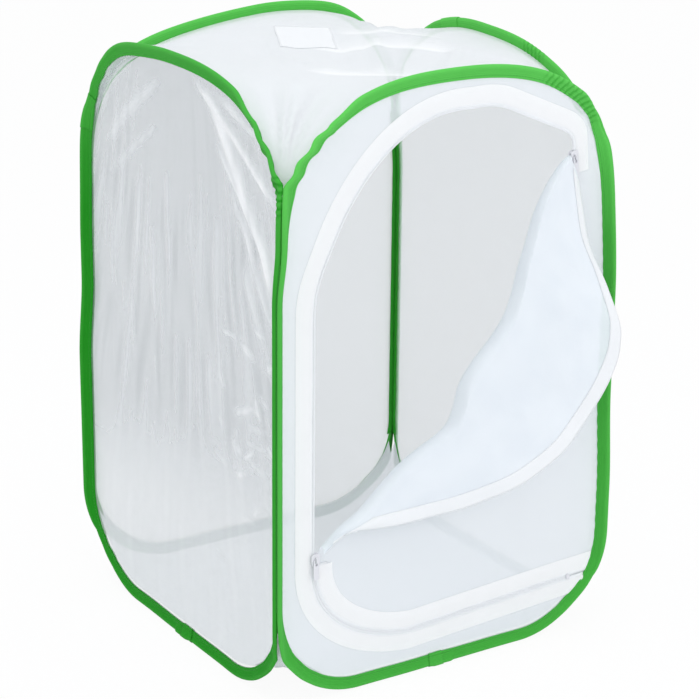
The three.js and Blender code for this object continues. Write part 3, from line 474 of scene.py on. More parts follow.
for turns, wall in enumerate(walls):
    def on_tape(line, reach, depth):
        return on_wall(taped(*line, reach, depth, *loose_ends(wall)), turns)

    def fold_round(length, v, outline):
        reach, depth = (np.interp(v * RINGS, np.arange(RINGS + 1), outline[:, k]) for k in (0, 1))
        line = hoop_at(length)
        return on_tape(line, reach, tape_swell(line[0], line[1], reach, depth))

    # painted light on the tape: paler on the arches than on the uprights, each wall at its own level, a painted
    # highlight along the folded edge round the wire and painted shade in the hollows of the gathers
    def paleness(length, v):
        reach = np.interp(v * RINGS, np.arange(RINGS + 1), section[:, 0])
        height = np.interp(length, hoop[4], hoop[1])
        upright, arch = painted_light_levels[wall]
        plain = upright + (arch - upright) * smooth_step((height - 400) / 170)
        plain = plain + 0.18 * np.clip((reach - 8.4) / 2.6, 0, 1)
        return plain - 0.5 * bell(length, *crimps[wall], 14) * np.maximum(0, -np.sin(gathers(length, reach)))

    binding = laid_grid(
        f"{wall}_binding_tape", STATIONS, RINGS, lambda u, v: fold_round(u * around, v, section),
        (around, girth[-1]), folded_edge=lambda u, v: paleness(u * around, v))

    def wire_round(u, v):
        turn = 2 * math.pi * v
        reach, depth = WIRE_REACH + WIRE_RADIUS * np.cos(turn), WIRE_DEPTH + WIRE_RADIUS * np.sin(turn)
        return on_tape(hoop_at(u * around), reach, depth)

    wire = laid_grid(f"{wall}_spring_wire", 700, 12, wire_round, (around, 2 * math.pi * WIRE_RADIUS))
    closed_up(wire)
    dressed(wire, steel, f"{wall}_wall", "spring_steel", f"{wall}_hoop_wire")
    for start, size in laps[wall]:
        # the lap gets a little more painted light than the tape under it
        lapped = laid_grid(
            f"{wall}_tape_lap_{start}", int(size / 1.7), RINGS,
            lambda u, v: fold_round(start + u * size, v, lapped_section), (size, girth[-1]),
            folded_edge=lambda u, v: paleness(start + u * size, v) + 0.06)
        thickened(lapped, 0.0004)
        dressed(lapped, binding_green, f"{wall}_wall", "green_tape")
    closed_up(binding)
    dressed(binding, binding_green, f"{wall}_wall", "green_tape", f"{wall}_binding")
    for face, depth, way in (("outer", 2.86, 1), ("inner", 0.16, -1)):
        line = hoop_at(np.arange(2, around - 2, STITCH_PITCH))
        reach = np.full(len(line[0]), SEWN_REACH)
        deep = tape_swell(line[0], line[1], reach, np.full(len(reach), depth))
        centres = on_tape(line, reach, deep)
        along = unit(np.gradient(centres, axis=0))
        side = unit(on_tape(line, reach + 1, deep) - centres)
        out = unit(np.cross(along, side) * way)
        stitches = row_of(f"{wall}_{face}_stitches", stitch * 0.001, stitch_faces, centres, along, side, out)
        dressed(stitches, sewing_green, f"{wall}_wall", "green_thread")

# Inner lips at the back right corner
# Green tape again. This corner is sewn along the tips of its bindings, so on the inside both tapes
# are folded wider and their lips lie on the nets.
LIP_WIDTH, LIP_FOOT, LIP_LENGTH = 5.6, 86, 388


def lip_at(z):
    """How far out the lip of the hoop is at a height."""
    low = HALF - FOOT_RADIUS + np.sqrt(np.maximum(0, FOOT_RADIUS**2 - np.maximum(0, FOOT_TOP - z) ** 2))
    bow = HALF * (1 - np.clip((z - ARCH_FOOT) / ARCH, 0, 1) ** FULLNESS) ** (1 / FULLNESS)
    return np.where(z < FOOT_TOP, low, bow)


for wall, turns, side in (("right", 1, 1), ("back", 2, -1)):
    def line_inside(u, v):
        z = LIP_FOOT + LIP_LENGTH * v
        x = side * (lip_at(z) - LIP_WIDTH + (LIP_WIDTH + 0.3) * u)
        out = -0.35 - 0.35 * np.sin(math.pi * u) + 0.12 * np.sin(z / 7 + turns)
        return on_wall(np.stack([x, out, z], -1), turns)

    # the lips get a low, even level of painted light: painted shade inside the cage
    lip = laid_grid(
        f"{wall}_inner_lip", 4, 90, line_inside, (LIP_WIDTH, LIP_LENGTH), folded_edge=lambda u, v: 0.13 + 0 * u)
    thickened(lip, 0.0004)
    dressed(lip, binding_green, f"{wall}_wall", "green_tape")

# Corner seams
# Green polyester thread that sews two neighbouring bindings together along each upright corner, over
# a narrow strip of the same tape that closes the joint where the hoops part.
STRIP_FOOT = 92
SEAM_FOOT, SEAM_TOP, SEAM_PITCH = 108, 452, 2.6
for corner, body, way_x, way_y, tall in (
    ("front_left", "front", -1, -1, 422), ("front_right", "front", 1, -1, 366),
    ("back_left", "back", -1, 1, 366), ("back_right", "back", 1, 1, 366),
):
    def between_tapes(u, v):
        z = STRIP_FOOT + tall * v
        lip = lip_at(z)
        leaning = np.arccos(np.minimum(math.sqrt(0.5), (HALF - lip) / (TAPE * math.sqrt(2)))) - math.pi / 4
        tip = HALF + TAPE * np.sin(leaning) - 1.9
        out = tip - (tip - lip + 0.4) * np.minimum(1, np.minimum(v, 1 - v) * 20 + 0.1) * (1 - u)
        return settled(way_x * out, way_y * out, z)

    # the strips get a low, even level of painted light: painted shade in the corner joints
    strip = laid_grid(
        f"{corner}_joint_strip", 3, 120, between_tapes, (11, tall), folded_edge=lambda u, v: 0.1 + 0 * u)
    thickened(strip, 0.0003)
    dressed(strip, binding_green, f"{body}_wall", "green_tape")
for corner, body, way_x, way_y, out in (
    ("front_left", "front", -1, -1, 198.8), ("front_right", "front", 1, -1, 189.2),
    ("back_left", "left", -1, 1, 189.2), ("back_right", "back", 1, 1, 198.8),
):
    z = np.arange(SEAM_FOOT, SEAM_TOP, SEAM_PITCH)
    centres = settled(np.full(len(z), way_x * out), np.full(len(z), way_y * out), z)
    outwards = np.tile((way_x * math.sqrt(0.5), way_y * math.sqrt(0.5), 0.0), (len(z), 1))
    across = np.cross(outwards, (0, 0, 1))
    along = unit(np.gradient(centres, axis=0) * 350 + 0.45 * across)
    side = np.cross(outwards, along)
    seam = row_of(f"{corner}_seam_stitches", stitch * 0.0013, stitch_faces, centres, along, side, outwards)
    dressed(seam, sewing_green, f"{body}_wall", "green_thread", f"{corner}_seam")


# Right and back walls
# Fine white polyester net with hexagonal holes, cut to the hoop and caught between the two lips of
# the binding. It billows a little between its edges.
def net_finish(name, colour, pitch, hole, thread, doubled=None, mottled=None):
    """Net: clear in its holes, white on its threads, denser where doubled; pitch in millimetres."""
    material, tree, shader = finish_of(name, Base_Color=(*colour, 1), Roughness=0.8, Sheen_Weight=0.2)
    shader.inputs["Specular IOR Level"].default_value = 0.25
    flat = node(tree, "UVMap").outputs[0]
    waves = []
    for angle in (0, 60, 120):
        way = (math.cos(math.radians(angle)), math.sin(math.radians(angle)), 0)
        run = node(tree, "VectorMath", [(0, flat)], operation="DOT_PRODUCT")
        run.inputs[1].default_value = tuple(k * 2000 * math.pi / (pitch * 0.866) for k in way)
        waves.append(worked(tree, "COSINE", run.outputs["Value"]))
    total = worked(tree, "ADD", worked(tree, "ADD", waves[0], waves[1]), waves[2])
    cover = ranged(tree, total, hole, thread, 1.4, -0.4)
    uneven = ranged(tree, noise(tree, flat, 26.0, 3.0), 0.97, 1.03)
    alpha = worked(tree, "MULTIPLY", cover, uneven, clamped=True)
    if doubled:
        layers = mark_of(tree, doubled)
        alpha = worked(tree, "ADD", alpha, layers, clamped=True)
        coloured(tree, shader, layers, (0, colour), (0.35, (0.99, 0.995, 1)))
    if mottled:
        coloured(tree, shader, noise(tree, flat, 15.0, 2.0), (0.36, mottled), (0.62, colour))
    tree.links.new(alpha, shader.inputs["Alpha"])
    bump_from(tree, shader, cover, 0.25, 0.0001)
    return material


def wall_outline(margin, count=480):
    """The hoop's lip, moved out by margin, as a closed outline."""
    x, z, out_x, out_z, _ = hoop_line(count + 1)
    return np.stack([x + margin * out_x, z + margin * out_z], -1)[:-1]


def inside(points, outline):
    """Which points lie inside a closed outline."""
    x, y = points[:, 0, None], points[:, 1, None]
    ax, ay = outline[:, 0], outline[:, 1]
    bx, by = np.roll(ax, -1), np.roll(ay, -1)
    crosses = ((ay > y) != (by > y)) & (x < (bx - ax) * (y - ay) / (by - ay + 1e-12) + ax)
    return crosses.sum(1) % 2 == 1


def gaps(points, outline):
    """Distances from each point to each point of an outline."""
    return np.hypot(*(points[:, None, :] - outline[None, :, :]).transpose(2, 0, 1))


def nearest(points, outline):
    """Distance from each point to an outline, by its points."""
    return gaps(points, outline).min(1)


def cut_cloth(name, outlines, spacing, lay, **marks):
    """Cloth cut to outlines, the later ones holes, with even points inside, laid by lay(flat points)."""
    def within(points):
        keep = inside(points, outlines[0])
        for hole in outlines[1:]:
            keep &= ~inside(points, hole)
        return keep

    low, high = outlines[0].min(0), outlines[0].max(0)
    columns = np.arange(low[0], high[0], spacing)
    rows = np.arange(low[1], high[1], spacing * 0.866)
    grid = np.stack(np.meshgrid(columns, rows), -1)
    grid[1::2, :, 0] += spacing / 2
    grid = grid.reshape(-1, 2)
    grid = grid[within(grid)]
    for edge in outlines:
        grid = grid[nearest(grid, edge) > spacing * 0.55]
    points, edges = list(grid), []
    for edge in outlines:
        first = len(points)
        points += list(edge)
        edges += [(first + i, first + (i + 1) % len(edge)) for i in range(len(edge))]
    made = delaunay_2d_cdt([Vector(p) for p in points], edges, [], 0, 1e-5)
    flat = np.array([tuple(p) for p in made[0]])
    faces = np.array(made[2])
    faces = faces[within(flat[faces].mean(1))]
    mesh = bpy.data.meshes.new(name)
    mesh.from_pydata(lay(flat).tolist(), [], faces.tolist())
    mesh.uv_layers.new(name="UVMap")
    mapped(mesh, flat, {mark: amount(flat) for mark, amount in marks.items()})
    piece = bpy.data.objects.new(name, mesh)
    bpy.context.collection.objects.link(piece)
    picked(piece)
    bpy.ops.object.shade_smooth()
    return piece


NET_DEPTH, SEAM_ALLOWANCE = 1.5, 2.4
rim = wall_outline(SEAM_ALLOWANCE)
lip_line = wall_outline(0)


def billow(flat, seed, size):
    """Slack of a net between its sewn edges."""
    edge = np.clip(nearest(flat, lip_line) / 30, 0, 1)
    x, z = flat[:, 0], flat[:, 1]
    wave = np.sin(x / 47 + z / 71 + seed) + np.sin(x / 83 - z / 39 + 2.1 * seed) + 0.5 * np.sin(x / 21 + z / 120)
    return size * edge * wave


def sewn_in(flat, out, wall):
    """Wall points of a net that follows the puckers of its binding near the edge."""
    near = gaps(flat, lip_line).argmin(1)
    x, z, out_x, out_z, length = (line[:-1][near] for line in hoop_line(len(lip_line) + 1))
    past = (flat[:, 0] - x) * out_x + (flat[:, 1] - z) * out_z
    depth = np.full(len(x), NET_DEPTH)
    pulled = taped(x, z, out_x, out_z, length, np.maximum(0, past), depth, *loose_ends(wall))
    plain = np.stack([x, depth, z], -1)
    away = np.clip(np.hypot(flat[:, 0] - x, flat[:, 1] - z) / 22, 0, 1)
    hold = ((1 - away) ** 2)[:, None]
    level = np.stack([flat[:, 0], out, flat[:, 1]], -1) + (pulled - plain) * hold
    return np.where((past > 0.5)[:, None], pulled, level)


def shown_outwards(piece, away):
    """Turns a sheet's faces to the side that away points to."""
    mesh = piece.data
    normal = np.empty(len(mesh.polygons) * 3)
    mesh.polygons.foreach_get("normal", normal)
    if normal.reshape(-1, 3).mean(0) @ np.array(away) < 0:
        mesh.flip_normals()


# the right and back walls have the same net as the front, in a paler, less blue colour: painted light for the shaded
# inside of the cage; this copy is also more open
wall_net_painted_paler = net_finish("wall_net_painted_paler", (0.94, 0.96, 0.98), 0.95, 0.32, 0.78)
for wall, turns in (("right", 1), ("back", 2)):
    def hang(flat):
        out = NET_DEPTH + billow(flat, 1.3 * turns, 0.7)
        return on_wall(sewn_in(flat, out, wall), turns)

    net = cut_cloth(f"{wall}_net", [rim], 9, hang)
    shown_outwards(net, (1, 0, 0) if wall == "right" else (0, 1, 0))
    dressed(net, wall_net_painted_paler, f"{wall}_wall", "white_net", f"{wall}_panel")


# Front wall
# The same net, cut out for the door: the doorway edge follows the zip from the upper slider over the
# top and down to the lower slider, and then the fold that the open half of the door hangs over.
def smooth_through(points, count):
    """An even line through points, rounded as a bent strip would be."""
    points = np.array(points, float)
    padded = np.vstack([2 * points[0] - points[1], points, 2 * points[-1] - points[-2]])
    line = []
    t = np.linspace(0, 1, 24, endpoint=False)[:, None]
    for p0, p1, p2, p3 in zip(padded, padded[1:], padded[2:], padded[3:]):
        bend, twist = 2 * p0 - 5 * p1 + 4 * p2 - p3, 3 * p1 - p0 - 3 * p2 + p3
        line.append(0.5 * (2 * p1 + (p2 - p0) * t + bend * t**2 + twist * t**3))
    return evened(np.vstack(line + [points[-1:]]), count)


def evened(line, count):
    """A line resampled at even lengths."""
    length = np.concatenate([[0], np.cumsum(np.linalg.norm(np.diff(line, axis=0), axis=1))])
    even = np.linspace(0, length[-1], count)
    return np.stack([np.interp(even, length, line[:, k]) for k in range(line.shape[1])], -1)


def curve_between(p0, p1, p2, p3):
    """A curve from p0 to p3 that is drawn towards p1 and p2."""
    t = np.linspace(0, 1, 40)[:, None]
    p0, p1, p2, p3 = (np.array(p, float) for p in (p0, p1, p2, p3))
    return (1 - t) ** 3 * p0 + 3 * (1 - t) ** 2 * t * p1 + 3 * (1 - t) * t**2 * p2 + t**3 * p3


def third_way(p0, bend, p3):
    """A three point curve as a four point one."""
    p0, bend, p3 = (np.array(p, float) for p in (p0, bend, p3))
    return curve_between(p0, p0 + (bend - p0) * 2 / 3, p3 + (bend - p3) * 2 / 3, p3)


zip_line = np.vstack([
    [(145, 492)],
    third_way((141, 526), (139, 532), (129, 537)),
    third_way((62, 566), (46, 573), (20, 571)),
    curve_between((20, 571), (-80, 579), (-153, 470), (-153, 392))[1:],
    curve_between((-153, 138), (-153, 88), (-105, 52), (-40, 47)),
    [(160, 58), (176, 58.9)],
])
zip_run = np.concatenate([[0], np.cumsum(np.linalg.norm(np.diff(zip_line, axis=0), axis=1))])
ZIP_LENGTH, TAPE_END = zip_run[-2], zip_run[-1]


def zip_at(length):
    """Points of the zip at lengths from its upper end."""
    return np.stack([np.interp(length, zip_run, zip_line[:, k]) for k in (0, 1)], -1)


def zip_beside(length, distance):
    """Points beside the zip, positive outside the door."""
    ahead = unit(zip_at(np.minimum(length + 4, TAPE_END)) - zip_at(np.maximum(length - 4, 0)))
    return zip_at(length) + np.stack([ahead[:, 1], -ahead[:, 0]], -1) * np.reshape(distance, (-1, 1))


UPPER_SLIDER = 18.0
LOWER_SLIDER = zip_run[np.argmin(np.linalg.norm(zip_line - (-153, 138), axis=1))] - 12
OPEN_FROM, OPEN_TO = UPPER_SLIDER + 6, LOWER_SLIDER - 6

fold_line = smooth_through([
    (142, 515.8), (126, 506), (110, 487), (97, 464), (88, 437), (79, 411), (73, 388), (64, 366), (49, 346), (26, 323),
    (12, 304), (6, 282), (-2, 265), (-16, 254), (-37, 244), (-60, 231), (-83, 212), (-106, 192), (-126, 180),
    (-140, 168), (-153, 156),
], 121)


def roll_radius(share):
    """Radius of the soft roll over the fold."""
    return 4 + 7 * np.sin(math.pi * np.clip(share, 0, 1)) ** 0.8


fold_share = np.linspace(0, 1, len(fold_line))
fold_edge = fold_line - np.stack([0 * fold_share, roll_radius(fold_share)], -1)
doorway = np.vstack([zip_beside(np.linspace(OPEN_FROM, OPEN_TO, 260), 6.0), fold_edge[::-1]])
zip_path = np.vstack([evened(zip_line, 260), fold_edge])


def hang_front(flat):
    """The front net, flat beside the zip and the fold."""
    edge = np.clip((nearest(flat, zip_path) - 24) / 40, 0, 1)
    out = NET_DEPTH + billow(flat, 0.4, 0.6) * edge
    return on_wall(sewn_in(flat, out, "front"), 0)


front_cloth = net_finish("front_cloth", (0.89, 0.925, 0.965), 0.95, 0.42, 0.86)
front_net = cut_cloth("front_net", [rim, doorway], 8, hang_front)
FORWARDS = (0, -1, 0)
shown_outwards(front_net, FORWARDS)
dressed(front_net, front_cloth, "front_wall", "white_net", "front_panel")

# Left wall
# A window of clear soft film, sewn into its binding like the nets. It is drawn into long slanting
# folds below its upper corners, fine upright wrinkles over the middle and crumples low down.
film, tree, shader = finish_of("clear_film", Roughness=0.2)
shader.inputs["Specular IOR Level"].default_value = 0.6
flat = node(tree, "UVMap").outputs[0]
grain = node(tree, "Attribute", attribute_name="grain").outputs["Vector"]
# the film's colour is painted shading: the fine wrinkles as light and dark streaks, painted highlights along the folds
# and crumples, and painted light towards its foot
middle = worked(tree, "SUBTRACT", noise(tree, grain, 1.0, 0.0), 0.5)
drawn = worked(tree, "MULTIPLY", middle, mark_of(tree, "taut"))
folded = worked(tree, "ADD", drawn, mark_of(tree, "creased"))
tone = worked(tree, "ADD", folded, mark_of(tree, "paled"))
level = ranged(tree, tone, 0.0, 1.0, -0.2, 0.3)
greys = (0, (0.40, 0.43, 0.455)), (1, (0.96, 0.97, 0.985)), (0.42, (0.69, 0.72, 0.745))
coloured(tree, shader, level, *greys)
veil = ranged(tree, noise(tree, flat, 6.0, 2.0), 0.35, 0.43, 0.3, 0.7)
haze = worked(tree, "ADD", veil, worked(tree, "ABSOLUTE", folded), clamped=True)
tree.links.new(haze, shader.inputs["Alpha"])
bump_from(tree, shader, folded, 0.4, 0.002)


def beside_line(x, y, start, end):
    """How far along and across a line points are, and its length."""
    start, end = np.array(start, float), np.array(end, float)
    length = np.linalg.norm(end - start)
    run = (end - start) / length
    along = (x - start[0]) * run[0] + (y - start[1]) * run[1]
    return along, -(x - start[0]) * run[1] + (y - start[1]) * run[0], length


def ridge(x, y, start, end, size, width):
    """A soft fold along a line."""
    along, across, length = beside_line(x, y, start, end)
    ease = min(35, length * 0.4)
    return size * np.exp(-((across / width) ** 2)) * bell(along, ease, length - ease, ease)


# the large folds, by start, end, height and width
folds = [
    ((30, 596), (188, 496), 2.8, 6), ((70, 588), (188, 541), 2.0, 5), ((52, 594), (188, 410), 2.8, 8),
    ((66, 545), (170, 442), 1.7, 5), ((44, 596), (186, 455), -1.8, 6), ((88, 572), (188, 518), -1.4, 4),
    ((96, 505), (186, 372), 1.5, 6), ((12, 598), (150, 522), -1.2, 5), ((108, 474), (188, 340), -1.2, 7),
    ((118, 440), (188, 318), 1.1, 5), ((-120, 588), (-172, 536), 1.4, 4), ((-88, 592), (-168, 520), 1.6, 5),
    ((-28, 584), (-160, 490), 1.3, 7), ((-56, 592), (-164, 505), -1.2, 6), ((-30, 540), (-150, 462), 0.8, 6),
]
chance = np.random.default_rng(11)
for _ in range(46):
    x, z, tall = chance.uniform(-165, 175), chance.uniform(205, 400), chance.uniform(60, 140)
    lean = chance.normal(-5, 7)
    folds.append(((x, z), (x + lean, z + tall), chance.uniform(-0.6, 0.8), chance.uniform(3.8, 6.2)))
crumples = []
for _ in range(58):
    x, z, angle = chance.normal(140, 36), chance.normal(278, 60), chance.normal(-0.5, 0.8)
    reach = chance.uniform(8, 22)
    step_x, step_z = reach * math.cos(angle), reach * math.sin(angle)
    ends = (x - step_x, z - step_z), (x + step_x, z + step_z)
    crumples.append((*ends, chance.uniform(-1.3, 1.4), chance.uniform(3.0, 4.8)))
folds += crumples


def film_fold_highlights(flat):
    """Where the film's folds and crumples carry painted highlights, which also make it milkier there and give it
    relief.
    """
    x, z = flat[:, 0], flat[:, 1]
    white = sum(np.maximum(0, ridge(x, z, a, b, size, width * 0.8)) for a, b, size, width in folds)
    sharp = sum(np.maximum(0, ridge(x, z, a, b, size, width * 0.7)) for a, b, size, width in crumples)
    return np.clip(white * 0.15 + sharp * 0.08, 0, 0.4)


def film_grain(flat):
    """Across and along the fine wrinkles, which fan out downwards from above the top of the hoop."""
    across, down = flat[:, 0] - 8, 1000 - flat[:, 1]
    return np.stack([np.arctan2(across, down) * 52, np.hypot(across, down) / 130, np.zeros(len(flat))], -1)


def film_tension(flat):
    """How strongly the fine wrinkles are drawn as painted light and dark streaks with a little relief: most below the
    upper corners, least at the foot.
    """
    x, z = flat[:, 0], flat[:, 1]
    corners = np.exp(-(((x + 150) / 60) ** 2) - ((z - 540) / 70) ** 2)
    corners = corners + 0.8 * np.exp(-(((x - 150) / 70) ** 2) - ((z - 480) / 110) ** 2)
    return np.clip(0.08 + 0.25 * bell(z, 270, 420, 90) + 0.3 * corners, 0.05, 0.6)


def film_paleness(flat):
    """The film looks grey above and whiter towards its foot, where the light comes through."""
    return -0.13 + 0.36 * smooth_step((258 - flat[:, 1] + 0.16 * flat[:, 0]) / 150)


def hang_film(flat):
    """The film with its large folds, which end at its sewn edges."""
    edge = np.clip(nearest(flat, lip_line) / 14, 0, 1)
    folded = sum(ridge(flat[:, 0], flat[:, 1], *fold) for fold in folds)
    out = NET_DEPTH + edge * folded + billow(flat, 2.6, 0.8)
    return on_wall(sewn_in(flat, out, "left"), 3)


window = cut_cloth(
    "film_window", [rim], 2.5, hang_film,
    creased=film_fold_highlights, grain=film_grain, taut=film_tension, paled=film_paleness)
shown_outwards(window, (-1, 0, 0))
dressed(window, film, "left_wall", "clear_film", "left_window")

# Top and floor
# White sheer cloth, stretched between the four hoops and sewn to the inner faces of the bindings.
# Each corner is drawn to where two hoops part.
cover_cloth = net_finish("cover_cloth", (0.815, 0.838, 0.865), 0.7, 0.52, 0.95, "doubled")
floor_cloth = net_finish("floor_cloth", (0.90, 0.925, 0.95), 0.7, 0.6, 0.95)
TOP_SEAM, FLOOR_SEAM, TOP_SAG, FLOOR_SAG, COVER_SPAN = 3.0, 2.0, 9.0, 9.0, 190.2


def top_lip(along):
    """Height of a hoop's lip over its arch."""
    share = np.minimum(1, np.abs(along) / HALF)
    return ARCH_FOOT + ARCH * (1 - share**FULLNESS) ** (1 / FULLNESS)


def foot_lip(along):
    """Height of a hoop's lip along its foot."""
    past = np.maximum(0, np.abs(along) - (HALF - FOOT_RADIUS))
    return FOOT_TOP - np.sqrt(np.maximum(0, FOOT_RADIUS**2 - past**2))


def corner_pleats(x, y, size):
    """Pleats that fan out from each corner, where the cloth is gathered."""
    total = np.zeros(len(x))
    for sx in (-1, 1):
        for sy in (-1, 1):
            across, back = HALF - sx * x, HALF - sy * y
            away = np.hypot(across, back)
            fan = np.arctan2(across, back)
            total += np.sin(fan * 17 + sx + 2 * sy) * np.exp(-(((away - 62) / 44) ** 2)) * np.sin(2 * fan) ** 2
    return size * total


def turned(flat, turns):
    """Flat points of the front quarter, quarter turns round."""
    x, y = flat[:, 0], flat[:, 1]
    for _ in range(turns):
        x, y = -y, x
    return x, y


def doubled_over(flat, turns):
    """Where the top lies folded over on itself: dense at the fold and fading back from it."""
    x, y = turned(flat, turns)
    total = np.zeros(len(x))
    for start, end, width in (((-30, 28), (96, -74), 26), ((-98, -70), (-14, -172), 20), ((30, 78), (132, 0), 16)):
        along, across, length = beside_line(x, y, start, end)
        across = across + 9 * np.sin(along / 22)
        fading_back = smooth_step(across / 9) * np.exp(-np.maximum(0, across) / width)
        total += 0.34 * fading_back * bell(along, 34, length - 34, 34)
    return np.clip(total, 0, 0.5)


def plain_cover(x, y, lip, seam, sag):
    """Height of a smooth cover between the four lips, and how far from its edges each point is."""
    a, b = np.clip(x / HALF, -1, 1), np.clip(y / HALF, -1, 1)
    free = (1 - a**2) * (1 - b**2)
    return lip(HALF * np.abs(a * b)) + seam - sag * free, free


def top_height(x, y):
    """Height of the top, with its swells, folds and corner pleats."""
    plain, free = plain_cover(x, y, top_lip, TOP_SEAM, TOP_SAG)
    soft = 1.6 * np.sin(x / 41 + y / 63) + 1.3 * np.sin(x / 58 - y / 34 + 1) + 0.7 * np.sin(x / 17 + y / 29 + 2)
    folds = ridge(x, y, (-30, -120), (60, 40), 4.2, 9) + ridge(x, y, (20, -150), (110, -40), 3.4, 8)
    folds += ridge(x, y, (-90, -60), (-20, 110), 3.0, 11) + ridge(x, y, (60, 30), (140, 110), 3.2, 10)
    folds -= ridge(x, y, (-60, -100), (40, 80), 2.4, 10)
    return plain + np.minimum(1, free * 2.2) * (soft + folds) + corner_pleats(x, y, 2.6)


def floor_height(x, y):
    """Height of the floor, which lies smoother."""
    plain, free = plain_cover(x, y, foot_lip, FLOOR_SEAM, FLOOR_SAG)
    soft = 0.5 * np.sin(x / 37 + y / 52) + 0.4 * np.sin(x / 61 - y / 43 + 1)
    return plain + np.minimum(1, free * 2) * soft + corner_pleats(x, y, 1.4)


# the front quarter of a cover, from its middle to the front wall
corner = COVER_SPAN - 5
along_wall = np.stack([np.linspace(-corner, corner, 64), np.full(64, -COVER_SPAN)], -1)
diagonal = np.linspace(corner - 0.5, 0, 40)[:, None]
gore = np.vstack([along_wall, diagonal * (1, -1), diagonal[-2::-1] * (-1, -1)])
SEAM_AT, KEPT_FLAT = 0.19, 0.04
fold_ways = {
    "front": ((0, 1, 0), (0, -SEAM_AT, 0)), "right": ((1, 0, 0), (SEAM_AT, 0, 0)),
    "back": ((0, 1, 0), (0, SEAM_AT, 0)), "left": ((1, 0, 0), (-SEAM_AT, 0, 0)),
}
for cover, height, up, cloth in (("top", top_height, 1, cover_cloth), ("floor", floor_height, -1, floor_cloth)):
    for turns, wall in enumerate(walls):
        def stretch(flat):
            x, y = turned(flat, turns)
            return settled(x, y, height(x, y))

        def layers(flat):
            return doubled_over(flat, turns) if cover == "top" else np.zeros(len(flat))

        quarter = cut_cloth(f"{cover}_cloth_{wall}", [gore], 5, stretch, doubled=layers)
        shown_outwards(quarter, (0, 0, up))
        # normals from the heights, so that the quarters meet without a crease
        points = np.empty(len(quarter.data.vertices) * 3)
        quarter.data.vertices.foreach_get("co", points)
        x, y, _ = (points.reshape(-1, 3) * 1000).T
        slope_x = height(x + 0.5, y) - height(x - 0.5, y)
        slope_y = height(x, y + 0.5) - height(x, y - 0.5)
        normal = unit(np.stack([-slope_x, -slope_y, np.ones(len(x))], -1)) * up
        quarter.data.normals_split_custom_set_from_vertices(normal.tolist())
        dressed(quarter, cloth, f"{wall}_wall", "white_net", f"{cover}_panel")
        way, anchor = fold_ways[wall]
        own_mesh(quarter)

# Ribbon patch
# A blank patch of white woven ribbon, sewn flat on the top.
ribbon_white = net_finish("ribbon_white", (0.905, 0.922, 0.945), 0.6, 0.86, 1.0)
RIBBON_WIDTH, RIBBON_LENGTH, RIBBON_TURN = 58, 94, math.radians(-27)
RIBBON_X, RIBBON_Y = -2, 71


def lie_on_top(u, v):
    """The patch, turned a little, on the cloth of the top."""
    across, along = RIBBON_WIDTH * (u - 0.5), RIBBON_LENGTH * (v - 0.5)
    x = RIBBON_X + across * math.cos(RIBBON_TURN) - along * math.sin(RIBBON_TURN)
    y = RIBBON_Y + across * math.sin(RIBBON_TURN) + along * math.cos(RIBBON_TURN)
    curl = 0.1 * np.maximum(np.abs(2 * u - 1), np.abs(2 * v - 1)) ** 6
    return np.stack([x, y, top_height(x, y) + 0.35 + curl], -1) * 0.001


ribbon = laid_grid("blank_ribbon", 24, 36, lie_on_top, (RIBBON_WIDTH, RIBBON_LENGTH))
thickened(ribbon, 0.0003)
dressed(ribbon, ribbon_white, "back_wall", "white_tape", "ribbon_tab")
way, anchor = fold_ways["back"]
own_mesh(ribbon)

# Door zip on the front wall
# White woven zip tape, sewn over the folded hem of the net along the whole zip, with a nylon coil on
# its inner edge. Below the lower slider the second tape and coil close the door.
TAPE_BACK, TAPE_WIDTH, COIL_MID = 2.45, 14.0, 3.15
HEM_FROM, HEM_WIDTH, HEM_DEPTH = 4, 17, 2.85
TOOTH_PITCH, TOOTH_BESIDE = 1.25, 1.15
white_tape, tree, shader = finish_of("white_tape", Roughness=0.66, Sheen_Weight=0.3)
thread_mm = in_millimetres(tree)
slope_a = node(tree, "TexWave", [("Vector", thread_mm)], Scale=0.34, bands_direction="DIAGONAL")
slope_b = node(tree, "TexWave", [("Vector", thread_mm)], Scale=0.42, bands_direction="Y")
weave = worked(tree, "MULTIPLY", slope_a.outputs["Fac"], slope_b.outputs["Fac"])
coloured(tree, shader, weave, (0, (0.93, 0.95, 0.975)), (1, (0.975, 0.985, 1.0)))
bump_from(tree, shader, weave, 0.5, 0.0002)


def zip_band(name, start, near, far, depth, ripple=0.0):
    """A band along the zip, from start to its end, between two distances beside it."""
    def place(u, v):
        length = start + (TAPE_END - start) * v
        beside = near + (far - near) * u
        at = zip_beside(length, beside)
        # on the door's side the lower end is drawn out to the lip of the binding
        at[:, 0] += (3 + 9 * u) * smooth_step((length - TAPE_END) / 45 + 1) * (far < 0)
        out = depth - (depth - 1.95) * u**3
        out = out + ripple * np.sin(length / 9.0 + 2 * np.sin(length / 50)) * (u - 0.5)
        return on_wall(np.stack([at[:, 0], out, at[:, 1]], -1), 0)

    return laid_grid(name, 8, int((TAPE_END - start) / 3), place, (abs(far - near), TAPE_END - start))


hem_net = net_finish("hem_net", (0.985, 0.99, 1.0), 0.95, 0.8, 1.0)
for name, start, way in (("zip_hem_frame", 0, 1), ("zip_hem_door", LOWER_SLIDER + 8, -1)):
    hem = zip_band(name, start, way * HEM_FROM, way * (HEM_FROM + HEM_WIDTH), HEM_DEPTH)
    shown_outwards(hem, FORWARDS)
    dressed(hem, hem_net, "front_wall", "white_net")
for side, start, way in (("frame", 0, 1), ("door", LOWER_SLIDER + 6, -1)):
    tape = zip_band(f"zip_tape_on_{side}", start, way * 0.8, way * (0.8 + TAPE_WIDTH), TAPE_BACK, 0.12)
    thickened(tape, 0.00035)
    dressed(tape, white_tape, "front_wall", "white_tape", f"zip_tape_{side}")

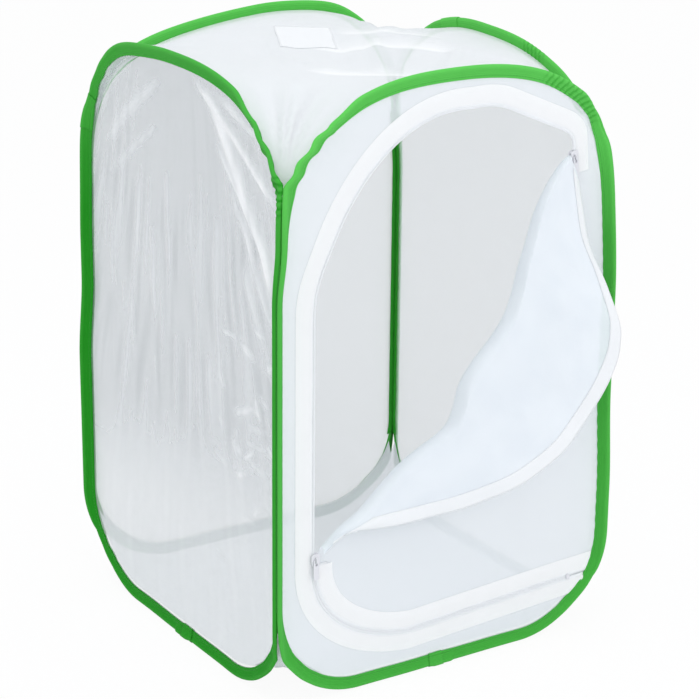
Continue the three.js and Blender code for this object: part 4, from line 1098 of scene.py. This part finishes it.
# the two rows of white stitches that hold each hem down on its tape
for name, start, way in (("frame_hem_stitches", 6, 1), ("door_hem_stitches", LOWER_SLIDER + 14, -1)):
    centres, along = [], []
    for distance in (5.6, 16.5):
        spots = np.arange(start, TAPE_END - 14, 3.4)
        at = zip_beside(spots, way * distance)
        share = (distance - HEM_FROM) / HEM_WIDTH
        out = np.full(len(spots), 2.9 - 0.9 * share**3)
        centres.append(on_wall(np.stack([at[:, 0], out, at[:, 1]], -1), 0))
        along.append(unit(np.gradient(centres[-1], axis=0)))
    centres, along = np.vstack(centres), np.vstack(along)
    out = np.tile(np.array(FORWARDS, float), (len(centres), 1))
    stitches = row_of(name, stitch * 0.001, stitch_faces, centres, along, np.cross(out, along), out)
    dressed(stitches, white_tape, "front_wall", "white_tape")

nylon, tree, shader = finish_of("nylon_coil", Roughness=0.38)
speck = noise(tree, node(tree, "TexCoord").outputs["Object"], 300.0, 2.0)
coloured(tree, shader, speck, (0, (0.93, 0.95, 0.975)), (1, (0.97, 0.98, 1.0)))

# one turn of the coil: a rounded bar across the tape edge, with a raised head where it meets its mate
tooth = np.array([
    (-0.52, -1.1, -0.45), (0.52, -1.1, -0.45), (0.52, 1.1, -0.45), (-0.52, 1.1, -0.45),
    (-0.42, -1.25, 0.1), (0.42, -1.25, 0.1), (0.42, 1.0, 0.05), (-0.42, 1.0, 0.05),
    (-0.22, -0.9, 0.4), (0.22, -0.9, 0.4), (0.22, 0.6, 0.35), (-0.22, 0.6, 0.35),
])
tooth_faces = np.array([
    (3, 2, 1, 0), (0, 1, 5, 4), (1, 2, 6, 5), (2, 3, 7, 6), (3, 0, 4, 7),
    (4, 5, 9, 8), (5, 6, 10, 9), (6, 7, 11, 10), (7, 4, 8, 11), (8, 9, 10, 11),
])

for side, start, way in (("frame", 5, 1), ("door", LOWER_SLIDER + 7, -1)):
    spots = np.arange(start, ZIP_LENGTH - 5, TOOTH_PITCH)
    at = zip_beside(spots, way * TOOTH_BESIDE)
    ahead = unit(np.gradient(at, axis=0))
    flat = np.zeros(len(spots))
    centres = on_wall(np.stack([at[:, 0], flat + COIL_MID, at[:, 1]], -1), 0)
    along = np.stack([ahead[:, 0], flat, ahead[:, 1]], -1)
    out = np.tile(np.array(FORWARDS, float), (len(spots), 1))
    across = np.cross(out, along) * way
    teeth = row_of(f"zip_teeth_on_{side}", tooth * 0.001, tooth_faces, centres, along, across, out)
    dressed(teeth, nylon, "front_wall", "nylon_coil", f"zip_coil_{side}")

# Open half of the door
# The net of the door, rolled softly over the fold and hanging down in front of the wall. A white hem
# covers its free edge, with the zip tape and coil behind it as it hangs.
free_edge = smooth_through([
    (142, 512, 5), (144, 505, 6), (146, 473, 12), (153, 423, 22), (169, 382, 32), (180, 345, 38), (181, 325, 40),
    (177, 299, 41), (160, 265, 40), (141, 237, 38), (115, 214, 36), (75, 194, 33), (22, 180, 30), (-23, 176, 27),
    (-79, 175, 22), (-126, 175, 11), (-147, 162, 7),
], 241)


def fold_front(share):
    """The front of the roll over the fold, where the hanging net starts."""
    at = np.stack([np.interp(share, fold_share, fold_edge[:, k]) for k in (0, 1)], -1)
    return np.column_stack([at, NET_DEPTH + 2 * roll_radius(share)])


def door_point(share, fall):
    """Fall runs from the roll's foot at -1, over the fold at 0, to the free edge at 1."""
    crowd = share**1.25
    front = fold_front(crowd)
    edge = np.stack([np.interp(share, np.linspace(0, 1, len(free_edge)), free_edge[:, k]) for k in range(3)], -1)
    over = np.clip(fall + 1, 0, 1) * math.pi
    radius = roll_radius(crowd)
    hang = np.clip(fall, 0, 1)
    wave = np.sin(2 * math.pi * (3.4 * share + 0.15 * hang)) * np.sin(math.pi * share) ** 0.8
    crimp = np.sin(2 * math.pi * 9 * share + 3 * hang) * np.sin(math.pi * share)
    belly = 9 * np.sin(math.pi * hang) * np.sin(math.pi * share)
    point = front + (edge - front) * hang[:, None]
    point[:, 2] += (5.5 * wave + 1.5 * crimp) * hang**1.2 * (1 - 0.55 * hang) + belly * 0.5
    rolled = hang <= 0
    point[rolled, 1] += (radius * np.sin(over))[rolled]
    point[rolled, 2] = (NET_DEPTH + radius * (1 - np.cos(over)))[rolled]
    return point


def on_front(point):
    """Points along, up and out on the front wall, in the frame."""
    return on_wall(point[:, [0, 2, 1]], 0)


# the door net is mottled darker in patches at random
door_cloth = net_finish("door_cloth", (0.895, 0.94, 0.99), 0.95, 0.62, 1.0, mottled=(0.862, 0.91, 0.965))
ROLL_PART = 0.16
FLAP_HEM, EDGE_LENGTH = 18.0, 860


def door_place(u, v):
    """The net of the flap, from the foot of its roll to its free edge."""
    share = 0.034 + 0.952 * u
    fall = np.where(v < ROLL_PART, v / ROLL_PART - 1, (v - ROLL_PART) / (1 - ROLL_PART))
    return on_front(door_point(share, fall))


door_net = laid_grid("door_net", 170, 100, door_place, (900, 240))
shown_outwards(door_net, FORWARDS)
door_net.data.materials.append(door_cloth)
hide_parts("door_flap", "door_fold")
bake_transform(door_net)


def edge_band(u, v, inside_edge, outside_edge, behind_net):
    """A band along the free edge, in millimetres in from it, behind the hanging net."""
    share = 0.045 + 0.925 * v
    span = np.linalg.norm(door_point(share, np.ones(len(v))) - door_point(share, np.zeros(len(v))), axis=1)
    inset = outside_edge + (inside_edge - outside_edge) * u
    fall = 1 - np.minimum(inset / span, 0.8)
    here = door_point(share, fall)
    ahead = door_point(np.minimum(share + 0.002, 1), fall) - here
    lower = np.minimum(fall + 0.01, 1.0)
    down = door_point(share, lower) - door_point(share, lower - 0.02)
    out = unit(np.cross(ahead, down))
    out *= np.sign(out[:, 2:3])
    return here - out * behind_net


flap_length = float(np.linalg.norm(np.diff(free_edge, axis=0), axis=1).sum()) / 1000
taped_length = flap_length * 0.93
flap_hem = laid_grid(
    "door_hem", 6, 300, lambda u, v: on_front(edge_band(u, v, FLAP_HEM, -0.3, -0.5)), (FLAP_HEM + 0.3, EDGE_LENGTH))
thickened(flap_hem, 0.0003)
dressed(flap_hem, white_tape, "flap", "white_tape")
flap_tape = laid_grid(
    "zip_tape_on_flap", 6, 300, lambda u, v: on_front(edge_band(u, v, TAPE_WIDTH, 0.0, 0.7)), (TAPE_WIDTH, EDGE_LENGTH))
thickened(flap_tape, 0.0005)
dressed(flap_tape, white_tape, "flap", "white_tape", "zip_tape_flap")

spots = np.linspace(0.002, 0.998, int(taped_length * 1000 / TOOTH_PITCH))


def coil_line(inset, behind_net):
    """Points of the flap's coil, in from the free edge and behind the net."""
    return on_front(edge_band(np.zeros(len(spots)), spots, inset, inset, behind_net))


centres = coil_line(0.6, 1.6)
side, out = unit(coil_line(3.0, 1.6) - centres), unit(coil_line(0.6, 2.6) - centres)
along = unit(np.gradient(centres, axis=0))
flap_teeth = row_of("zip_teeth_on_flap", tooth * 0.001, tooth_faces, centres, along, side, out)
dressed(flap_teeth, nylon, "flap", "nylon_coil", "zip_coil_flap")

# Zip sliders, pulls and end stops
# Small die cast zinc sliders with a bridge for the pull, and pressed end stops, all lacquered white.
lacquer, tree, shader = finish_of("zip_lacquer", Base_Color=(0.80, 0.80, 0.845, 1), Roughness=0.3, Coat_Weight=0.3)
flow = noise(tree, node(tree, "TexCoord").outputs["Object"], 180.0, 3.0)
tree.links.new(ranged(tree, flow, 0.22, 0.42), shader.inputs["Roughness"])
bump_from(tree, shader, flow, 0.15, 0.0001)

for name in ("upper_slider", "upper_pull", "lower_slider", "lower_pull", "upper_zip_stop", "lower_zip_stop"):
    source = nodes[name]
    cast = bpy.data.objects.new(f"{name}_cast", source.data.copy())
    bpy.context.collection.objects.link(cast)
    cast.matrix_world = source.matrix_world.copy()
    closed_up(cast)
    cast.data.materials.clear()
    edge = cast.modifiers.new("soft_edges", "BEVEL")
    edge.width = 0.00022
    edge.segments = 3
    edge.limit_method = "ANGLE"
    edge.angle_limit = math.radians(40)
    bpy.ops.object.modifier_apply(modifier="soft_edges")
    bpy.ops.object.shade_smooth_by_angle(angle=math.radians(40))
    dressed(cast, lacquer, "front_wall" if name.endswith("stop") else name, "zip_metal", name)
